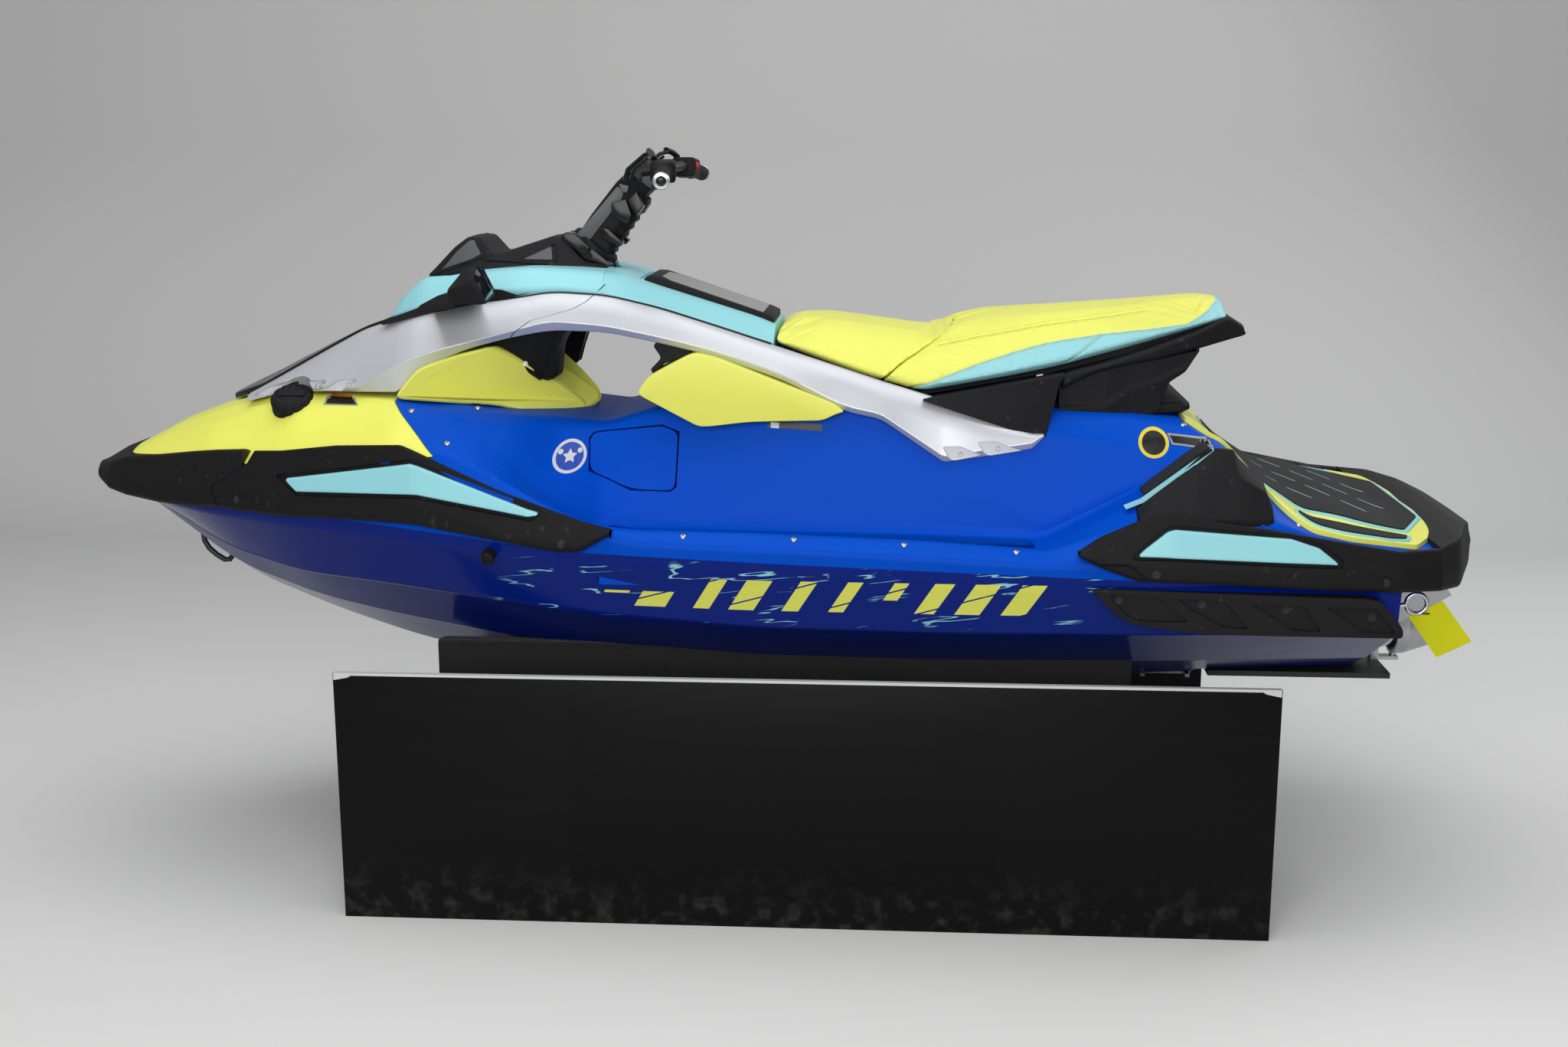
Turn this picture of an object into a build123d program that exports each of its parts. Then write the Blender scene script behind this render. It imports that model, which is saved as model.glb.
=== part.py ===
from build123d import *
import math
import os

os.makedirs("parts", exist_ok=True)

# ---------------------------------------------------------------- driving sizes, millimetres
overall_length = 3140.0      # bow bumper to stern bumper
beam = 1130.0                # across the bumpers amidships
craft_height = 1210.0        # keel to the top of the handlebar
keel_height = 405.0          # keel above the floor
running_gap = 6.0            # between anything that moves and its neighbours
seam = 0.3                   # under a lid that rests on its seat
belt_depth = 26.0            # how far the rubber belt stands off the hull
belt_lap = 45.0              # how far the belt pieces reach in over the deck
insert_rise = 5.0            # coloured inserts above the belt
arch_wall = 22.0             # silver arch panels
hood_wall = 14.0
lid_wall = 14.0              # glovebox lid
well_floor = 762.0           # footwell floor above the ground line
well_wall = 18.0             # footwell tub moulding
mat_thickness = 7.0          # foam deck mats
seat_base_wall = 14.0        # plate under the cushions
tray_wall = 10.0             # rear deck tray
hatch_rise = 5.0

column_width = 84.0
column_depth = 92.0
collar_radius = 62.0
steer_shaft_radius = 16.0
steer_shaft_length = 70.0    # below the collar, into the shroud
bar_radius = 11.0
grip_radius = 17.0
grip_length = 128.0
pod_length = 58.0            # switch pods inboard of the grips
pod_gap = 18.0

pump_bore = 155.0            # diameter of the jet pump duct
pump_wall = 9.0
blade_clearance = 1.0        # impeller blade tips to the duct
hub_radius = 30.0            # impeller hub
shaft_radius = 13.0          # drive shaft and its bearing
nozzle_bore = 84.0           # diameter of the jet at the pump outlet
pivot_radius = 7.0           # steering nozzle and reverse bucket pins
pin_clearance = 0.3          # around every pin and the steering shaft
bucket_radius = 166.0        # inside of the reverse bucket about its pins
bucket_wall = 8.0
plate_thickness = 12.0       # ride plate
arm_height = 84.0            # nozzle pin arms above and below the pump's axis
arm_wall = 8.0

cap_radius = 47.0
cap_height = 34.0
bow_eye_hole = 11.0          # radii of the tow eyes' holes
stern_eye_hole = 19.0
eye_rim = 8.0                # metal around a tow eye's hole
eye_thickness = 8.0
engine_length = 520.0
engine_width = 300.0
engine_height = 300.0
engine_gap = 40.0            # air around the engine in its bay
tag_width = 76.0
tag_height = 108.0
tag_thickness = 1.5

skirt_length = 1960.0
skirt_height = 545.0
skirt_half_width = 500.0
skirt_wall = 12.0
bunk_width = 90.0
bunk_spacing = 220.0         # centre plane to the middle of a bunk
bunk_length = 1520.0
leg_side = 60.0
leg_top = 515.0
beam_top = 390.0             # cross beams of the stand

# The lines below are drawn at these overall sizes and follow the driving sizes from there.
drawn_length = 3140.0
drawn_beam = 1130.0
drawn_height = 1210.0
drawn_keel = 405.0


def fx(x):
    """Distance along the craft."""
    return x * overall_length / drawn_length


def fy(y):
    """Distance from the centre plane."""
    return y * beam / drawn_beam


def fz(z):
    """Height above the floor."""
    return keel_height + (z - drawn_keel) * craft_height / drawn_height


def at(x, y, z):
    """A drawn point at the driving sizes."""
    return Vector(fx(x), fy(y), fz(z))


def along(x, line):
    """Value at x of a line given as (x, value) points that run aft."""
    if x >= line[0][0]:
        return line[0][1]
    for (x1, v1), (x2, v2) in zip(line, line[1:]):
        if x >= x2:
            return v2 + (v1 - v2) * (x - x2) / (x1 - x2)
    return line[-1][1]


def section_loft(stations):
    """Faceted solid through outlines that stand across the craft: (x, [(y, z), ...])."""
    rings = [[at(x, y, z) for y, z in outline] for x, outline in stations]
    count = len(rings[0])
    faces = [Face(Wire.make_polygon(ring)) for ring in (rings[0], rings[-1])]
    for ring, following in zip(rings, rings[1:]):
        for i in range(count):
            j = (i + 1) % count
            faces.append(Face(Wire.make_polygon([ring[i], ring[j], following[j]])))
            faces.append(Face(Wire.make_polygon([ring[i], following[j], following[i]])))
    return Solid(Shell(faces))


def full_loft(stations):
    """As section_loft, from the half outline on the left side."""
    whole = []
    for x, half in stations:
        other = [(-y, z) for y, z in reversed(half) if y > 0]
        whole.append((x, half + other))
    return section_loft(whole)


def side_prism(outline, y_low, y_high):
    """Solid with a side outline (x, z), between two distances from the centre plane."""
    with BuildPart() as body:
        with BuildSketch(Plane.XZ.offset(-fy(y_high))):
            with BuildLine():
                Polyline(*[(fx(x), fz(z)) for x, z in outline], close=True)
            make_face()
        extrude(amount=fy(y_high - y_low))
    return body.part


def box_between(low, high):
    """Box between two drawn corners."""
    a = at(*low)
    b = at(*high)
    with BuildPart() as body:
        with Locations((a + b) * 0.5):
            Box(b.X - a.X, b.Y - a.Y, b.Z - a.Z)
    return body.part


def rod(start, end, radius, bore=0.0):
    """Round bar or tube between two points in real sizes."""
    line = Vector(*end) - Vector(*start)
    with BuildPart() as body:
        with BuildSketch(Plane(origin=start, z_dir=line)):
            Circle(radius)
            if bore:
                Circle(bore, mode=Mode.SUBTRACT)
        extrude(amount=line.length)
    return body.part


def write(piece, label):
    """Name a finished piece and write it out."""
    piece.part.label = label
    export_step(piece.part, f"parts/{label}.step")


# ---------------------------------------------------------------- plan and profile lines
# Outside of the rubber belt, and the bond line between hull and deck, bow to stern.
belt_plan = [(1570, 12), (1550, 70), (1500, 135), (1400, 205), (1250, 285), (1000, 390), (750, 470),
             (500, 525), (250, 552), (0, 565), (-900, 565), (-1150, 552), (-1290, 530), (-1380, 490),
             (-1437, 420), (-1480, 300), (-1520, 190), (-1550, 90), (-1570, 30)]
bond_height = [(1570, 886), (1441, 880), (1224, 862), (1016, 858), (827, 852), (600, 835), (350, 814),
               (0, 803), (-400, 789), (-800, 776), (-1290, 757), (-1570, 750)]


def bond_plan(x):
    """Half-breadth of the bond line, inside the belt."""
    return max(along(x, belt_plan) - belt_depth, 6)


# ---------------------------------------------------------------- master solids: hull and deck
bond_lap = 8                 # the hull runs up into the deck's underside and is cut back by it
hull_lines = [  # x, keel height, chine half-breadth and height
    (1525, 870, 20, 874), (1441, 806, 60, 832), (1344, 735, 100, 790), (1224, 640, 155, 735),
    (1016, 553, 260, 705), (827, 490, 335, 704), (600, 440, 400, 690), (350, 418, 448, 668),
    (0, 408, 478, 652), (-400, 405, 486, 649), (-800, 412, 488, 653), (-1300, 440, 478, 656)]
hull_solid = full_loft([
    (x, [(0, keel), (chine_y, chine_z), (bond_plan(x), along(x, bond_height) + bond_lap)])
    for x, keel, chine_y, chine_z in hull_lines])

# Half sections of the deck above the bond line: side top, ledge, well or side, wall foot, wall top,
# shoulder and crown.
deck_lines = [
    (1525, 905, (50, 912), (45, 914), (38, 916), (28, 918), (16, 920), 920),
    (1441, 930, (110, 945), (95, 950), (80, 953), (60, 956), (35, 958), 960),
    (1344, 938, (160, 956), (130, 972), (100, 990), (70, 1002), (40, 1008), 1010),
    (1224, 947, (230, 966), (195, 995), (160, 1022), (110, 1044), (60, 1052), 1055),
    (1120, 952, (265, 974), (230, 1010), (195, 1050), (150, 1070), (90, 1080), 1082),
    (1016, 965, (305, 985), (270, 1020), (235, 1060), (190, 1086), (120, 1094), 1096),
    (900, 985, (350, 1003), (310, 1035), (275, 1070), (232, 1094), (150, 1100), 1102),
    (766, 1000, (405, 1020), (370, 1045), (335, 1072), (298, 1090), (200, 1094), 1096),
    (640, 975, (455, 1005), (420, 1028), (385, 1052), (350, 1072), (310, 1084), 1088),
    (590, 955, (470, 985), (440, 1006), (405, 1030), (365, 1054), (300, 1072), 1078),
    (520, 930, (485, 958), (450, 965), (400, 985), (325, 1040), (262, 1058), 1064),
    (440, 900, (494, 918), (450, 905), (380, 895), (235, 1032), (205, 1044), 1052),
    (340, 858, (497, 868), (450, 862), (315, 855), (214, 1024), (195, 1034), 1040),
    (234, 840, (500, 858), (450, 854), (305, 848), (222, 1060), (200, 1068), 1072),
    (130, 838, (500, 857), (450, 852), (308, 846), (232, 1095), (205, 1125), 1128),
    (40, 836, (500, 856), (450, 850), (312, 844), (242, 1100), (200, 1180), 1181.5),
    (-45, 834, (500, 854), (450, 848), (315, 842), (250, 1095), (195, 1183), 1184.7),
    (-110, 832, (500, 852), (450, 846), (318, 840), (255, 1090), (195, 1162), 1163.7),
    (-213, 828, (500, 849), (450, 843), (322, 837), (262, 1080), (198, 1128), 1129.7),
    (-340, 822, (500, 844), (450, 838), (326, 832), (268, 1070), (205, 1095), 1097),
    (-600, 808, (498, 828), (425, 820), (330, 815), (272, 1060), (245, 1080), 1082),
    (-782, 815, (490, 884), (425, 912), (318, 912), (264, 1054), (240, 1068), 1072),
    (-895, 815, (490, 892), (425, 1000), (326, 1002), (285, 1050), (250, 1056), 1058),
    (-926, 815, (490, 892), (422, 1020), (332, 1022), (300, 1034), (250, 1036), 1038),
    (-968, 815, (490, 892), (400, 1010), (330, 1018), (290, 1018), (240, 1008), 1000),
    (-1043, 815, (490, 890), (430, 916), (400, 930), (300, 930), (240, 925), 920),
    (-1130, 815, (480, 862), (450, 862), (400, 866), (300, 874), (240, 880), 882),
    (-1205, 812, (470, 846), (430, 848), (400, 850), (330, 860), (240, 864), 866),
    (-1344, 800, (430, 824), (400, 825), (330, 827), (240, 829), (120, 830), 830),
    (-1420, 795, (385, 828), (350, 829), (300, 830), (220, 831), (110, 832), 832),
    (-1490, 790, (215, 825), (190, 826), (150, 827), (100, 828), (50, 829), 829),
    (-1535, 775, (60, 795), (50, 796), (42, 797), (30, 798), (15, 799), 799)]
deck_solid = full_loft([
    (x, [(bond_plan(x), along(x, bond_height)), (bond_plan(x), side),
         ledge, well, foot, wall, shoulder, (0, crown)])
    for x, side, ledge, well, foot, wall, shoulder, crown in deck_lines])

# The bow cowl is the front of the deck's shape, split off above this side outline.
cowl_region = side_prism([(1600, 900), (1525, 905), (1441, 930), (1344, 938), (1224, 947), (1120, 952),
                          (1016, 965), (900, 985), (766, 1000), (655, 1004), (640, 1007), (762, 1098),
                          (766, 1300), (1600, 1300)], -600, 600)
bow_bin = box_between((905, -105, 985), (1120, 105, 1300))
engine_x = -330.0
bay_half_length = engine_length / 2 + engine_gap
bay_half_width = engine_width / 2 + engine_gap
engine_bay = box_between((engine_x - bay_half_length, -bay_half_width, 500),
                         (engine_x + bay_half_length, bay_half_width, 830))
engine_hatch = box_between((-600, -160, 700), (-120, 160, 1300))


def tub(grow, low):
    """Both footwells below the ledge, grown outwards for the moulding around them."""
    with BuildPart() as body:
        with BuildSketch(Plane.XY.offset(fz(low))):
            with BuildLine():
                Polyline((fx(300 + grow), fy(480 + grow)), (fx(265 + grow), fy(335 - grow)),
                         (fx(-575 - grow), fy(350 - grow)), (fx(-575 - grow), fy(480 + grow)), close=True)
            make_face()
        extrude(amount=fz(900) - fz(low))
        mirror(about=Plane.XZ)
    return body.part


tub_inside = tub(0, well_floor)
tub_outside = tub(well_wall, well_floor - well_wall)
pump_z = 562.0
pump_front = -985.0
duct_radius = pump_bore / 2
cheek = duct_radius + pump_wall + running_gap      # inside of the reverse bucket's cheeks
tunnel_half_width = cheek + 29.5
with BuildPart() as pump_tunnel_space:
    with Locations((fx(-1135), 0, fz(540))):
        Box(fx(350), 2 * tunnel_half_width, fz(700) - fz(380))
pump_tunnel = pump_tunnel_space.part
intake = side_prism([(-700, 380), (-960, 380), (-960, 640), (-925, 640)], -92, 92)

with BuildPart() as hull_pieces:
    add(hull_solid)
    add(deck_solid, mode=Mode.SUBTRACT)
    add(engine_bay, mode=Mode.SUBTRACT)
    add(tub_outside, mode=Mode.SUBTRACT)
    add(pump_tunnel, mode=Mode.SUBTRACT)
    add(intake, mode=Mode.SUBTRACT)

hull = hull_pieces.part.solids().sort_by(SortBy.VOLUME)[-1]

with BuildPart() as deck:
    add(deck_solid)
    add(cowl_region, mode=Mode.SUBTRACT)
    add(tub_inside, mode=Mode.SUBTRACT)
    add(engine_bay, mode=Mode.SUBTRACT)
    add(engine_hatch, mode=Mode.SUBTRACT)

# Hull and deck are each in three lengths, which meet at frames across the craft.
lengths = {
    "hull_front": (hull, 280, 1700), "hull_middle": (hull, -593, 280), "hull_rear": (hull, -1700, -593),
    "deck_front": (deck.part, 262, 1700), "deck_saddle": (deck.part, -600, 262),
    "deck_rear": (deck.part, -1700, -600)}
for label, (moulding, rear, front) in lengths.items():
    with BuildPart() as piece:
        add(moulding & box_between((rear, -700, 300), (front, 700, 1700)))
    write(piece, label)

with BuildPart() as footwell_tubs:
    add(tub_outside & hull_solid)
    add(deck_solid, mode=Mode.SUBTRACT)
    add(tub_inside, mode=Mode.SUBTRACT)
write(footwell_tubs, "footwell_tubs")

with BuildPart() as nose_cowl:
    add(deck_solid & cowl_region)
    add(bow_bin, mode=Mode.SUBTRACT)
write(nose_cowl, "nose_cowl")

with BuildPart() as engine_block:
    with Locations((fx(engine_x), 0, fz(500) + engine_height / 2)):
        Box(engine_length, engine_width, engine_height)
write(engine_block, "engine_block")

# ---------------------------------------------------------------- rubber belt and its inserts
bow_belt = [  # x, underside, top edge outside, top inside
    (1570, 886, 897, 902), (1550, 872, 899, 912), (1500, 846, 903, 938), (1441, 838, 908, 948),
    (1344, 835, 912, 954), (1250, 842, 915, 962), (1190, 848, 918, 968)]
front_belt = [
    (1190, 850, 915, 945), (1110, 852, 925, 954), (1014, 856, 940, 985), (880, 858, 955, 1000),
    (732, 857, 968, 1012), (600, 845, 925, 970), (518, 835, 900, 938), (400, 818, 865, 898),
    (345, 822, 850, 880), (284, 857, 860, 866)]
rear_belt = [
    (-656, 828, 832, 837), (-700, 806, 845, 868), (-770, 781, 865, 899), (-821, 779, 875, 917),
    (-940, 775, 868, 897), (-1035, 770, 858, 884), (-1125, 765, 848, 868), (-1290, 757, 822, 838),
    (-1380, 752, 812, 832)]
stern_belt = [
    (-1380, 752, 812, 832), (-1437, 745, 800, 836), (-1480, 742, 790, 836), (-1520, 740, 780, 815),
    (-1550, 739, 775, 795), (-1570, 748, 764, 776)]


def belt(lines, rise=0.0):
    """Solid across the craft out to the belt, cut back by hull and deck later."""
    return full_loft([
        (x, [(along(x, belt_plan) - 6, low), (along(x, belt_plan) + rise, low + 8),
             (along(x, belt_plan) + rise, edge), (bond_plan(x) + rise, top + rise)])
        for x, low, edge, top in lines])


def belt_piece(lines, label, two_sided):
    with BuildPart() as piece:
        add(belt(lines))
        add(hull_solid, mode=Mode.SUBTRACT)
        add(deck_solid, mode=Mode.SUBTRACT)
        if two_sided:
            add(belt_core, mode=Mode.SUBTRACT)
    write(piece, label)
    return piece.part


belt_core = section_loft([
    (x, [(-bond_plan(x) + belt_lap, 700), (bond_plan(x) - belt_lap, 700), (bond_plan(x) - belt_lap, 1100),
         (-bond_plan(x) + belt_lap, 1100)])
    for x in (1300, 1000, 750, 500, 250, 0, -900, -1150, -1290, -1385)])
bow_bumper = belt_piece(bow_belt, "bow_bumper", False)
front_bumpers = belt_piece(front_belt, "front_bumpers", True)
rear_bumpers = belt_piece(rear_belt, "rear_bumpers", True)
stern_bumper = belt_piece(stern_belt, "stern_bumper", False)

insert_outlines = {
    "front_inserts": (front_belt, [(998, 933), (973, 907), (692, 922), (445, 885), (434, 895), (709, 978)]),
    "rear_inserts": (rear_belt, [(-772, 831), (-827, 879), (-842, 882), (-1070, 864), (-1125, 846),
                                 (-1164, 821), (-1161, 816), (-942, 821)])}
for label, (lines, outline) in insert_outlines.items():
    with BuildPart() as insert:
        add(belt(lines, insert_rise) & side_prism(outline, 250, 600))
        mirror(about=Plane.XZ)
        add(belt(lines), mode=Mode.SUBTRACT)
    write(insert, label)

# ---------------------------------------------------------------- silver arch
# x, then top edge, crease and lower edge of the outer face as (y, z)
arch_lines = [
    (1155, (120, 1083), (150, 1078), (160, 1066)), (1060, (142, 1133), (190, 1104), (192, 1090)),
    (960, (160, 1187), (232, 1112), (226, 1098)), (860, (175, 1238), (264, 1126), (252, 1103)),
    (776, (190, 1263), (272, 1168), (264, 1106)), (740, (196, 1271), (273, 1185), (262, 1142)),
    (655, (204, 1285), (272, 1210), (260, 1184)), (537, (213, 1302), (268, 1248), (256, 1221)),
    (450, (220, 1317), (266, 1262), (252, 1238)), (330, (222, 1310), (266, 1250), (252, 1235)),
    (220, (222, 1284), (264, 1228), (252, 1213)), (100, (224, 1247), (266, 1200), (256, 1186)),
    (-50, (234, 1200), (280, 1150), (270, 1137)), (-180, (248, 1160), (290, 1086), (281, 1073)),
    (-390, (262, 1097), (308, 982), (300, 967)), (-500, (272, 1056), (306, 1000), (298, 983)),
    (-592, (288, 1024), (298, 1012), (292, 1002))]
arch_solid = section_loft([
    (x, [top, (crease[0] * 0.25 + top[0] * 0.75 + 9, top[1] - (top[1] - crease[1]) * 0.25), crease, low,
         (low[0] - arch_wall, low[1] + 2), (top[0] - arch_wall, top[1] - 2)])
    for x, top, crease, low in arch_lines])
seam_low = at(537, 0, 1221)
seam_high = at(397, 0, 1320)
seam_plane = Plane(origin=seam_low, x_dir=(0, 1, 0), z_dir=(seam_high - seam_low).cross(Vector(0, 1, 0)))
arch_front_half = split(arch_solid, bisect_by=seam_plane, keep=Keep.TOP)
arch_rear_half = split(arch_solid, bisect_by=seam_plane, keep=Keep.BOTTOM)
if arch_front_half.center().X < arch_rear_half.center().X:
    arch_front_half, arch_rear_half = arch_rear_half, arch_front_half

arch_parts = []
for label, half in (("arch_front_panels", arch_front_half), ("arch_rear_spars", arch_rear_half)):
    with BuildPart() as arch:
        add(half)
        mirror(about=Plane.XZ)
        add(deck_solid, mode=Mode.SUBTRACT)
    write(arch, label)
    arch_parts.append(arch.part)
arch_front_panels, arch_rear_spars = arch_parts

# ---------------------------------------------------------------- steering axis
steer_low = at(394, 0, 1398)
steer_high = at(262, 0, 1567)
steer_axis = (steer_high - steer_low).normalized()
collar_low = -24.0
collar_high = 16.0
column_high = 190.0


def steer_plane(distance):
    """Plane square to the steering axis, X across the craft."""
    return Plane(origin=steer_low + steer_axis * distance, x_dir=(0, 1, 0), z_dir=steer_axis)


with BuildPart() as column_clearance:
    with BuildSketch(steer_plane(collar_low - running_gap)):
        Circle(collar_radius + 2 * running_gap)
    extrude(amount=300)
    with BuildSketch(steer_plane(collar_low)):
        Circle(steer_shaft_radius + pin_clearance)
    extrude(amount=-steer_shaft_length - seam)

# ---------------------------------------------------------------- covers between the arch panels
shroud_lines = [  # x, underside, lower edge, shoulder, crown
    (834, 1232, (112, 1254), (70, 1268), 1272), (818, 1234, (128, 1257), (98, 1288), 1292),
    (756, 1240, (172, 1278), (110, 1342), 1346), (690, 1243, (190, 1302), (122, 1351), 1354),
    (600, 1244, (200, 1318), (148, 1359), 1361), (503, 1242, (208, 1322), (168, 1366), 1368),
    (430, 1240, (212, 1326), (170, 1363), 1366), (345, 1236, (214, 1318), (168, 1357), 1360)]
cover_lines = [
    (345, 1236, (214, 1318), (166, 1355), 1358), (303, 1226, (212, 1306), (150, 1350), 1352),
    (276, 1218, (211, 1298), (135, 1338), 1339), (239, 1208, (210, 1288), (124, 1326), 1327),
    (100, 1190, (212, 1246), (122, 1283), 1284), (20, 1186, (214, 1222), (124, 1258), 1259),
    (-24, 1186, (208, 1208), (140, 1240), 1241)]


def cover_solid(lines):
    return full_loft([
        (x, [(lower[0] - 34, low), lower, shoulder, (0, crown)]) for x, low, lower, shoulder, crown in lines])


shroud_solid = cover_solid(shroud_lines)
rear_cover_solid = cover_solid(cover_lines)
lid_half_width = 104.0
lid_line = [(268, 1345), (245, 1341), (-18, 1254)]
glovebox = side_prism([(258, 1400), (258, 1262), (10, 1206), (10, 1400)], -92, 92)

with BuildPart() as front_shroud:
    add(shroud_solid)
    add(arch_front_panels, mode=Mode.SUBTRACT)
    add(arch_rear_spars, mode=Mode.SUBTRACT)
    add(column_clearance.part, mode=Mode.SUBTRACT)
write(front_shroud, "front_shroud")

lid_bed = side_prism([(274, 1450), (274, 1336), (-24, 1238), (-24, 1450)], -lid_half_width - 6, lid_half_width + 6)
with BuildPart() as column_cover:
    add(rear_cover_solid)
    add(arch_front_panels, mode=Mode.SUBTRACT)
    add(arch_rear_spars, mode=Mode.SUBTRACT)
    add(deck_solid, mode=Mode.SUBTRACT)
    add(column_clearance.part, mode=Mode.SUBTRACT)
    add(lid_bed, mode=Mode.SUBTRACT)
    add(glovebox, mode=Mode.SUBTRACT)
write(column_cover, "column_cover")

with BuildPart() as glovebox_lid:
    add(side_prism([(268, 1334.3), (-18, 1240.3), (-18, 1254), (0, 1262), (240, 1342), (268, 1348)],
                   -lid_half_width, lid_half_width))
write(glovebox_lid, "glovebox_lid")

with BuildPart() as dash_cowl:
    add(full_loft([
        (x, [(low_y, 1330), (low_y, 1345), (top_y, top_z), (0, top_z + 2)])
        for x, low_y, top_y, top_z in [
            (744, 108, 100, 1348), (690, 130, 96, 1404), (660, 134, 92, 1426), (634, 134, 90, 1424),
            (604, 128, 98, 1388), (575, 126, 80, 1394), (475, 122, 66, 1426), (455, 120, 66, 1424),
            (400, 112, 80, 1372), (352, 100, 90, 1362)]]))
    add(shroud_solid, mode=Mode.SUBTRACT)
    add(rear_cover_solid, mode=Mode.SUBTRACT)
    add(column_clearance.part, mode=Mode.SUBTRACT)
write(dash_cowl, "dash_cowl")

hood_lines = [  # x, half width, edge height, centre height
    (1225, 40, 1069.3, 1072), (1190, 76, 1082, 1090), (1140, 89, 1098, 1112), (1078, 109, 1126, 1144),
    (961, 129, 1187, 1202), (868, 143, 1228, 1240)]
with BuildPart() as hood:
    add(full_loft([
        (x, [(half - 4, edge - hood_wall), (half, edge - 4), (half - 6, edge), (0, crown)])
        for x, half, edge, crown in hood_lines]))
    add(deck_solid, mode=Mode.SUBTRACT)
write(hood, "hood")

# ---------------------------------------------------------------- side pods and arch brackets
pod_outlines = {
    "front_pods": ([(758, 1106), (726, 1155), (655, 1183), (588, 1203), (562, 1201), (445, 1147),
                    (371, 1089), (364, 1071), (380, 1034), (440, 1034), (584, 1060), (700, 1080),
                    (755, 1085)], 150, 300),
    "rear_pods": ([(265, 1110), (240, 1136), (157, 1188), (130, 1193), (84, 1184), (-158, 1092),
                   (-179, 1074), (-165, 1070), (-131, 1054), (25, 1051), (100, 1041), (131, 1039),
                   (227, 1076), (262, 1098)], 150, 296)}
pods = []
for label, (outline, inner, outer) in pod_outlines.items():
    with BuildPart() as pod:
        add(side_prism(outline, inner, outer))
        mirror(about=Plane.XZ)
        add(deck_solid, mode=Mode.SUBTRACT)
        add(arch_front_panels, mode=Mode.SUBTRACT)
        add(arch_rear_spars, mode=Mode.SUBTRACT)
    write(pod, label)
    pods.append(pod.part)

bracket_outlines = [
    [(587, 1200), (575, 1250), (424, 1250), (419, 1232), (433, 1194), (443, 1138), (452, 1126), (469, 1129),
     (525, 1166)],
    [(226, 1215), (210, 1230), (150, 1230), (150, 1180), (199, 1165), (226, 1147), (234, 1155), (228, 1165),
     (206, 1173)]]
with BuildPart() as arch_brackets:
    for outline in bracket_outlines:
        add(side_prism(outline, 150, 208))
    mirror(about=Plane.XZ)
    for neighbour in (pods[0], pods[1], shroud_solid, rear_cover_solid, arch_front_panels, arch_rear_spars,
                      deck_solid):
        add(neighbour, mode=Mode.SUBTRACT)
write(arch_brackets, "arch_brackets")

# ---------------------------------------------------------------- side panels, tail and foot wedges
with BuildPart() as side_panels:
    add(side_prism([(-349, 1096), (-600, 1143), (-640, 1152), (-620, 1110), (-602, 1025), (-552, 1030)],
                   226, 272))
    mirror(about=Plane.XZ)
    add(arch_rear_spars, mode=Mode.SUBTRACT)
    add(deck_solid, mode=Mode.SUBTRACT)
write(side_panels, "side_panels")

tail_lines = [  # x, underside, top, half-breadth
    (-642, 1060, 1147, 250), (-860, 1052, 1202, 212), (-885, 1102, 1209, 205), (-955, 1210, 1227, 165),
    (-1002, 1216, 1237, 132), (-1010, 1217, 1254, 128), (-1037, 1222, 1251, 108)]
with BuildPart() as seat_tail:
    add(full_loft([(x, [(half - 10, low), (half, low + 6), (half, top - 6), (half - 8, top), (0, top + 1)])
                   for x, low, top, half in tail_lines]))
    add(deck_solid, mode=Mode.SUBTRACT)
write(seat_tail, "seat_tail")

with BuildPart() as foot_wedges:
    add(side_prism([(-772, 870), (-782, 919), (-918, 1027), (-966, 1029), (-1057, 919), (-1047, 870)],
                   398, 505))
    mirror(about=Plane.XZ)
    add(deck_solid, mode=Mode.SUBTRACT)
    add(rear_bumpers, mode=Mode.SUBTRACT)
write(foot_wedges, "foot_wedges")

with BuildPart() as side_hatches:
    add(section_loft([
        (x, [(low - 15, 897), (low + hatch_rise, 897), (high + hatch_rise, 1032), (high - 15, 1032)])
        for x, low, high in [(371, 313, 209), (340, 290, 203), (234, 286, 233), (179, 289.5, 243)]])
        & side_prism([(371, 1004), (363, 1012), (214, 1030), (179, 1016), (186, 908), (194, 898),
                      (279, 899), (363, 931)], 150, 400))
    mirror(about=Plane.XZ)
    add(deck_solid, mode=Mode.SUBTRACT)
write(side_hatches, "side_hatches")

# ---------------------------------------------------------------- rear deck tray and mats
tray_edge = [(-895, 248), (-926, 270), (-968, 300), (-1000, 338), (-1043, 398), (-1084, 440), (-1130, 468),
             (-1205, 466), (-1344, 428), (-1420, 300)]


def raised_deck(rise, edge, first, last):
    """Deck surface lifted by a wall, inside an edge line given as (x, half-breadth)."""
    lifted = full_loft([
        (x, [(bond_plan(x), along(x, bond_height)), (bond_plan(x), side + rise), *[(y, z + rise) for y, z in points],
             (0, crown + rise)])
        for x, side, *points, crown in deck_lines if last - 200 <= x <= first + 200])
    with BuildPart() as plan:
        with BuildSketch(Plane.XY.offset(fz(700))):
            with BuildLine():
                Polyline(*[(fx(x), fy(y)) for x, y in edge], *[(fx(x), -fy(y)) for x, y in reversed(edge)],
                         close=True)
            make_face()
        extrude(amount=fz(1400) - fz(700))
    return lifted & plan.part


with BuildPart() as rear_deck_tray:
    add(raised_deck(tray_wall, tray_edge, -895, -1420))
    add(deck_solid, mode=Mode.SUBTRACT)
    add(foot_wedges.part, mode=Mode.SUBTRACT)
    add(stern_bumper, mode=Mode.SUBTRACT)
    add(rear_bumpers, mode=Mode.SUBTRACT)
write(rear_deck_tray, "rear_deck_tray")

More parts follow.
